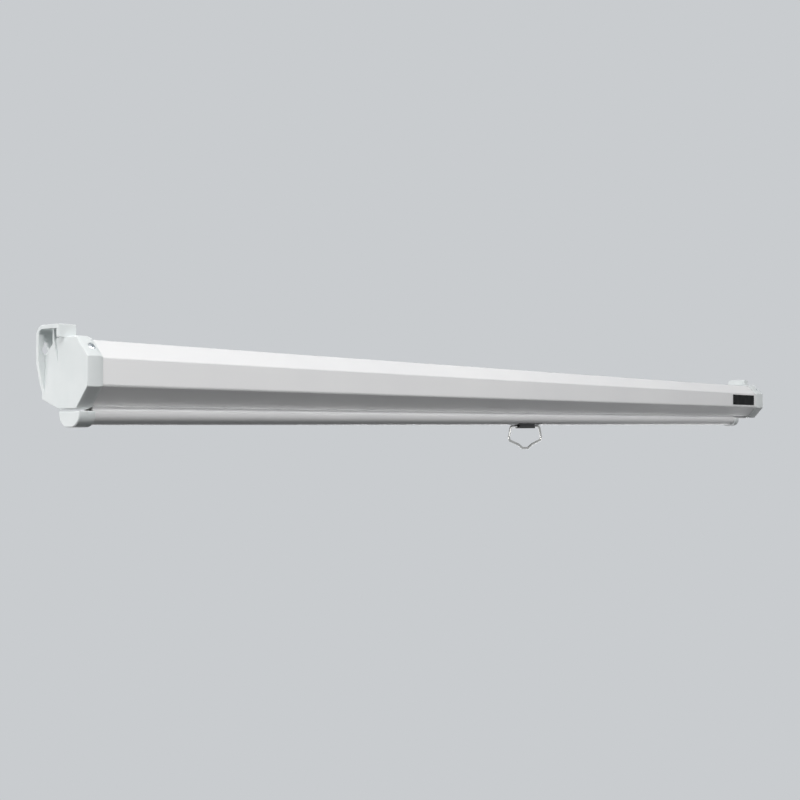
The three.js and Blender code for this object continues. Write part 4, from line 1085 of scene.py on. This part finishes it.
def cloth_strip(line):
    """The strip as one closed mesh of two faces and their rims."""
    bm = bmesh.new()
    sides = two_sides(line)
    front, back = [], []
    for c in range(COLUMNS + 1):
        x = CLOTH_FROM + (CLOTH_TO - CLOTH_FROM) * c / COLUMNS
        for rows, way in ((front, 1), (back, -1)):
            rows.append([
                bm.verts.new(Vector((x, y + way * ny + wave(x, z), z + way * nz)) * MM)
                for y, z, ny, nz in sides
            ])
    for c in range(COLUMNS):
        for r in range(len(line) - 1):
            bm.faces.new((front[c][r], front[c + 1][r], front[c + 1][r + 1], front[c][r + 1]))
            bm.faces.new((back[c][r], back[c][r + 1], back[c + 1][r + 1], back[c + 1][r]))
        for r in (0, -1):
            bm.faces.new((front[c][r], back[c][r], back[c + 1][r], front[c + 1][r]))
    for c in (0, -1):
        for r in range(len(line) - 1):
            bm.faces.new((front[c][r], front[c][r + 1], back[c][r + 1], back[c][r]))
    return bm


line = cloth_line()
cloth = as_piece(cloth_strip(line), "screen_cloth", gentle=60)
cloth.data.materials.append(hanging_cloth)
print("cloth faces:", len(cloth.data.polygons))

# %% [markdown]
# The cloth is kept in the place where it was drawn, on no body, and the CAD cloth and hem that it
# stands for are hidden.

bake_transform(cloth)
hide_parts("fabric_drop", "fabric_hem")

# %% [markdown]
# ## The backdrop
# The backdrop is only the world's colour. What the camera, mirrors and glass see of it is pale,
# while the light that it sends from all round is weak, because the photograph's underside is dark.

# %% The world
BACKDROP = "C9CCCF"
AMBIENT = 0.05


def ray_is(tree, *kinds):
    """1 for rays of any of these kinds, 0 for others."""
    ray = add(tree, "ShaderNodeLightPath").outputs
    share = ray[kinds[0]]
    for kind in kinds[1:]:
        share = maths(tree, "MAXIMUM", share, ray[kind])
    return share


def mixed(tree, share, first, second):
    """A mix of two shaders, by a share."""
    return add(tree, "ShaderNodeMixShader", {
        0: share, 1: first.outputs[0], 2: second.outputs[0],
    })


world = bpy.data.worlds.new("studio")
bpy.context.scene.world = world
world.use_nodes = True
sky = world.node_tree
sky.nodes.clear()
seen = ray_is(sky, "Is Camera Ray", "Is Glossy Ray", "Is Transmission Ray")
backdrop = add(sky, "ShaderNodeBackground", {"Color": linear(BACKDROP), "Strength": 1.0})
ambient = add(sky, "ShaderNodeBackground", {"Color": linear("F4F4F4"), "Strength": AMBIENT})
add(sky, "ShaderNodeOutputWorld", {"Surface": mixed(sky, seen, ambient, backdrop).outputs[0]})
print("ambient strength", AMBIENT)

# %% [markdown]
# ## The floor
# The screen hangs high on a wall, so the floor lies far below it. It is pale to the eye and keeps the
# screen's soft shadow. To light that bounces it is dark, or it would brighten the underside. From
# its middle outwards it fades into the backdrop, so no edge or lamp patch shows.

# %% Lay the floor
FLOOR_Z = -1.95
FLOOR_RADIUS = 16.0
HAZE_FROM, HAZE_TO = 0.6, 3.4  # metres from the middle
LEAST_HAZE = 0.30

disc = bmesh.new()
centre = Matrix.Translation((0, 0, FLOOR_Z))
bmesh.ops.create_circle(disc, cap_ends=True, segments=96, radius=FLOOR_RADIUS, matrix=centre)
floor_mesh = bpy.data.meshes.new("floor")
disc.to_mesh(floor_mesh)
disc.free()
floor = put("floor", floor_mesh)

floor_paint = bpy.data.materials.new("pale_floor")
floor_paint.use_nodes = True
tree = floor_paint.node_tree
tree.nodes.clear()
where = add(tree, "ShaderNodeTexCoord").outputs["Object"]
grain = noise(tree, where, size_mm=900.0)
pale = add(tree, "ShaderNodeBsdfDiffuse", {"Color": blended(tree, grain, "D2D5D7", "CACDD0")})
dark = add(tree, "ShaderNodeBsdfDiffuse", {"Color": linear("404141")})
haze = add(tree, "ShaderNodeEmission", {"Color": linear(BACKDROP), "Strength": 1.0})
far = add(tree, "ShaderNodeVectorMath", {0: where}, operation="LENGTH").outputs["Value"]
fade = between(tree, far, LEAST_HAZE, 1.0, start=HAZE_FROM, end=HAZE_TO)
seen = ray_is(tree, "Is Camera Ray", "Is Glossy Ray")
ground = mixed(tree, seen, dark, pale)
hazed = mixed(tree, maths(tree, "MULTIPLY", fade, seen), ground, haze)
add(tree, "ShaderNodeOutputMaterial", {"Surface": hazed.outputs[0]})
floor.data.materials.append(floor_paint)
print("floor at", FLOOR_Z, "metres")

# %% [markdown]
# ## The lamps
# The photograph's light comes from high in front and from the left, and two broad soft lamps give
# that, key and left_key. Two at the sides light the end faces, and two behind light the back, which
# a wall hides in real use. The side lamps and back_fill stand lower than the housing: just above its
# glossy top they would be mirrored there as a white streak. All are large and dim, so nothing clips.

# %% Hang the lamps
# Each row: name, place, aim, width, depth, watts. Places and sizes are in metres.
LAMPS = [
    ("key", (0.3, -2.8, 2.2), (0.0, 0.0, -0.25), 2.6, 1.3, 52.0),
    ("left_key", (-2.3, -1.9, 2.25), (-0.7, 0.0, 0.0), 3.2, 1.8, 96.0),
    ("left_side", (-2.9, 1.2, -0.60), (-0.86, -0.03, 0.0), 2.6, 1.2, 44.0),
    ("right_side", (2.9, 1.2, -0.60), (0.86, -0.03, 0.0), 2.6, 1.2, 24.0),
    ("back_key", (0.2, 2.9, 2.8), (0.0, 0.0, -0.1), 3.0, 2.0, 50.0),
    ("back_fill", (0.2, 3.8, -0.75), (0.0, 0.0, -0.1), 4.6, 1.5, 32.0),
]


def lamp(name, place, aim, width, depth, watts):
    """A soft rectangular lamp at a place, facing aim."""
    light = bpy.data.lights.new(name, "AREA")
    light.shape = "RECTANGLE"
    light.size, light.size_y, light.energy = width, depth, watts
    made = put(name, light)
    made.location = place
    made.rotation_euler = (Vector(aim) - Vector(place)).to_track_quat("-Z", "Y").to_euler()
    print(name, watts, "watts")


for row in LAMPS:
    lamp(*row)
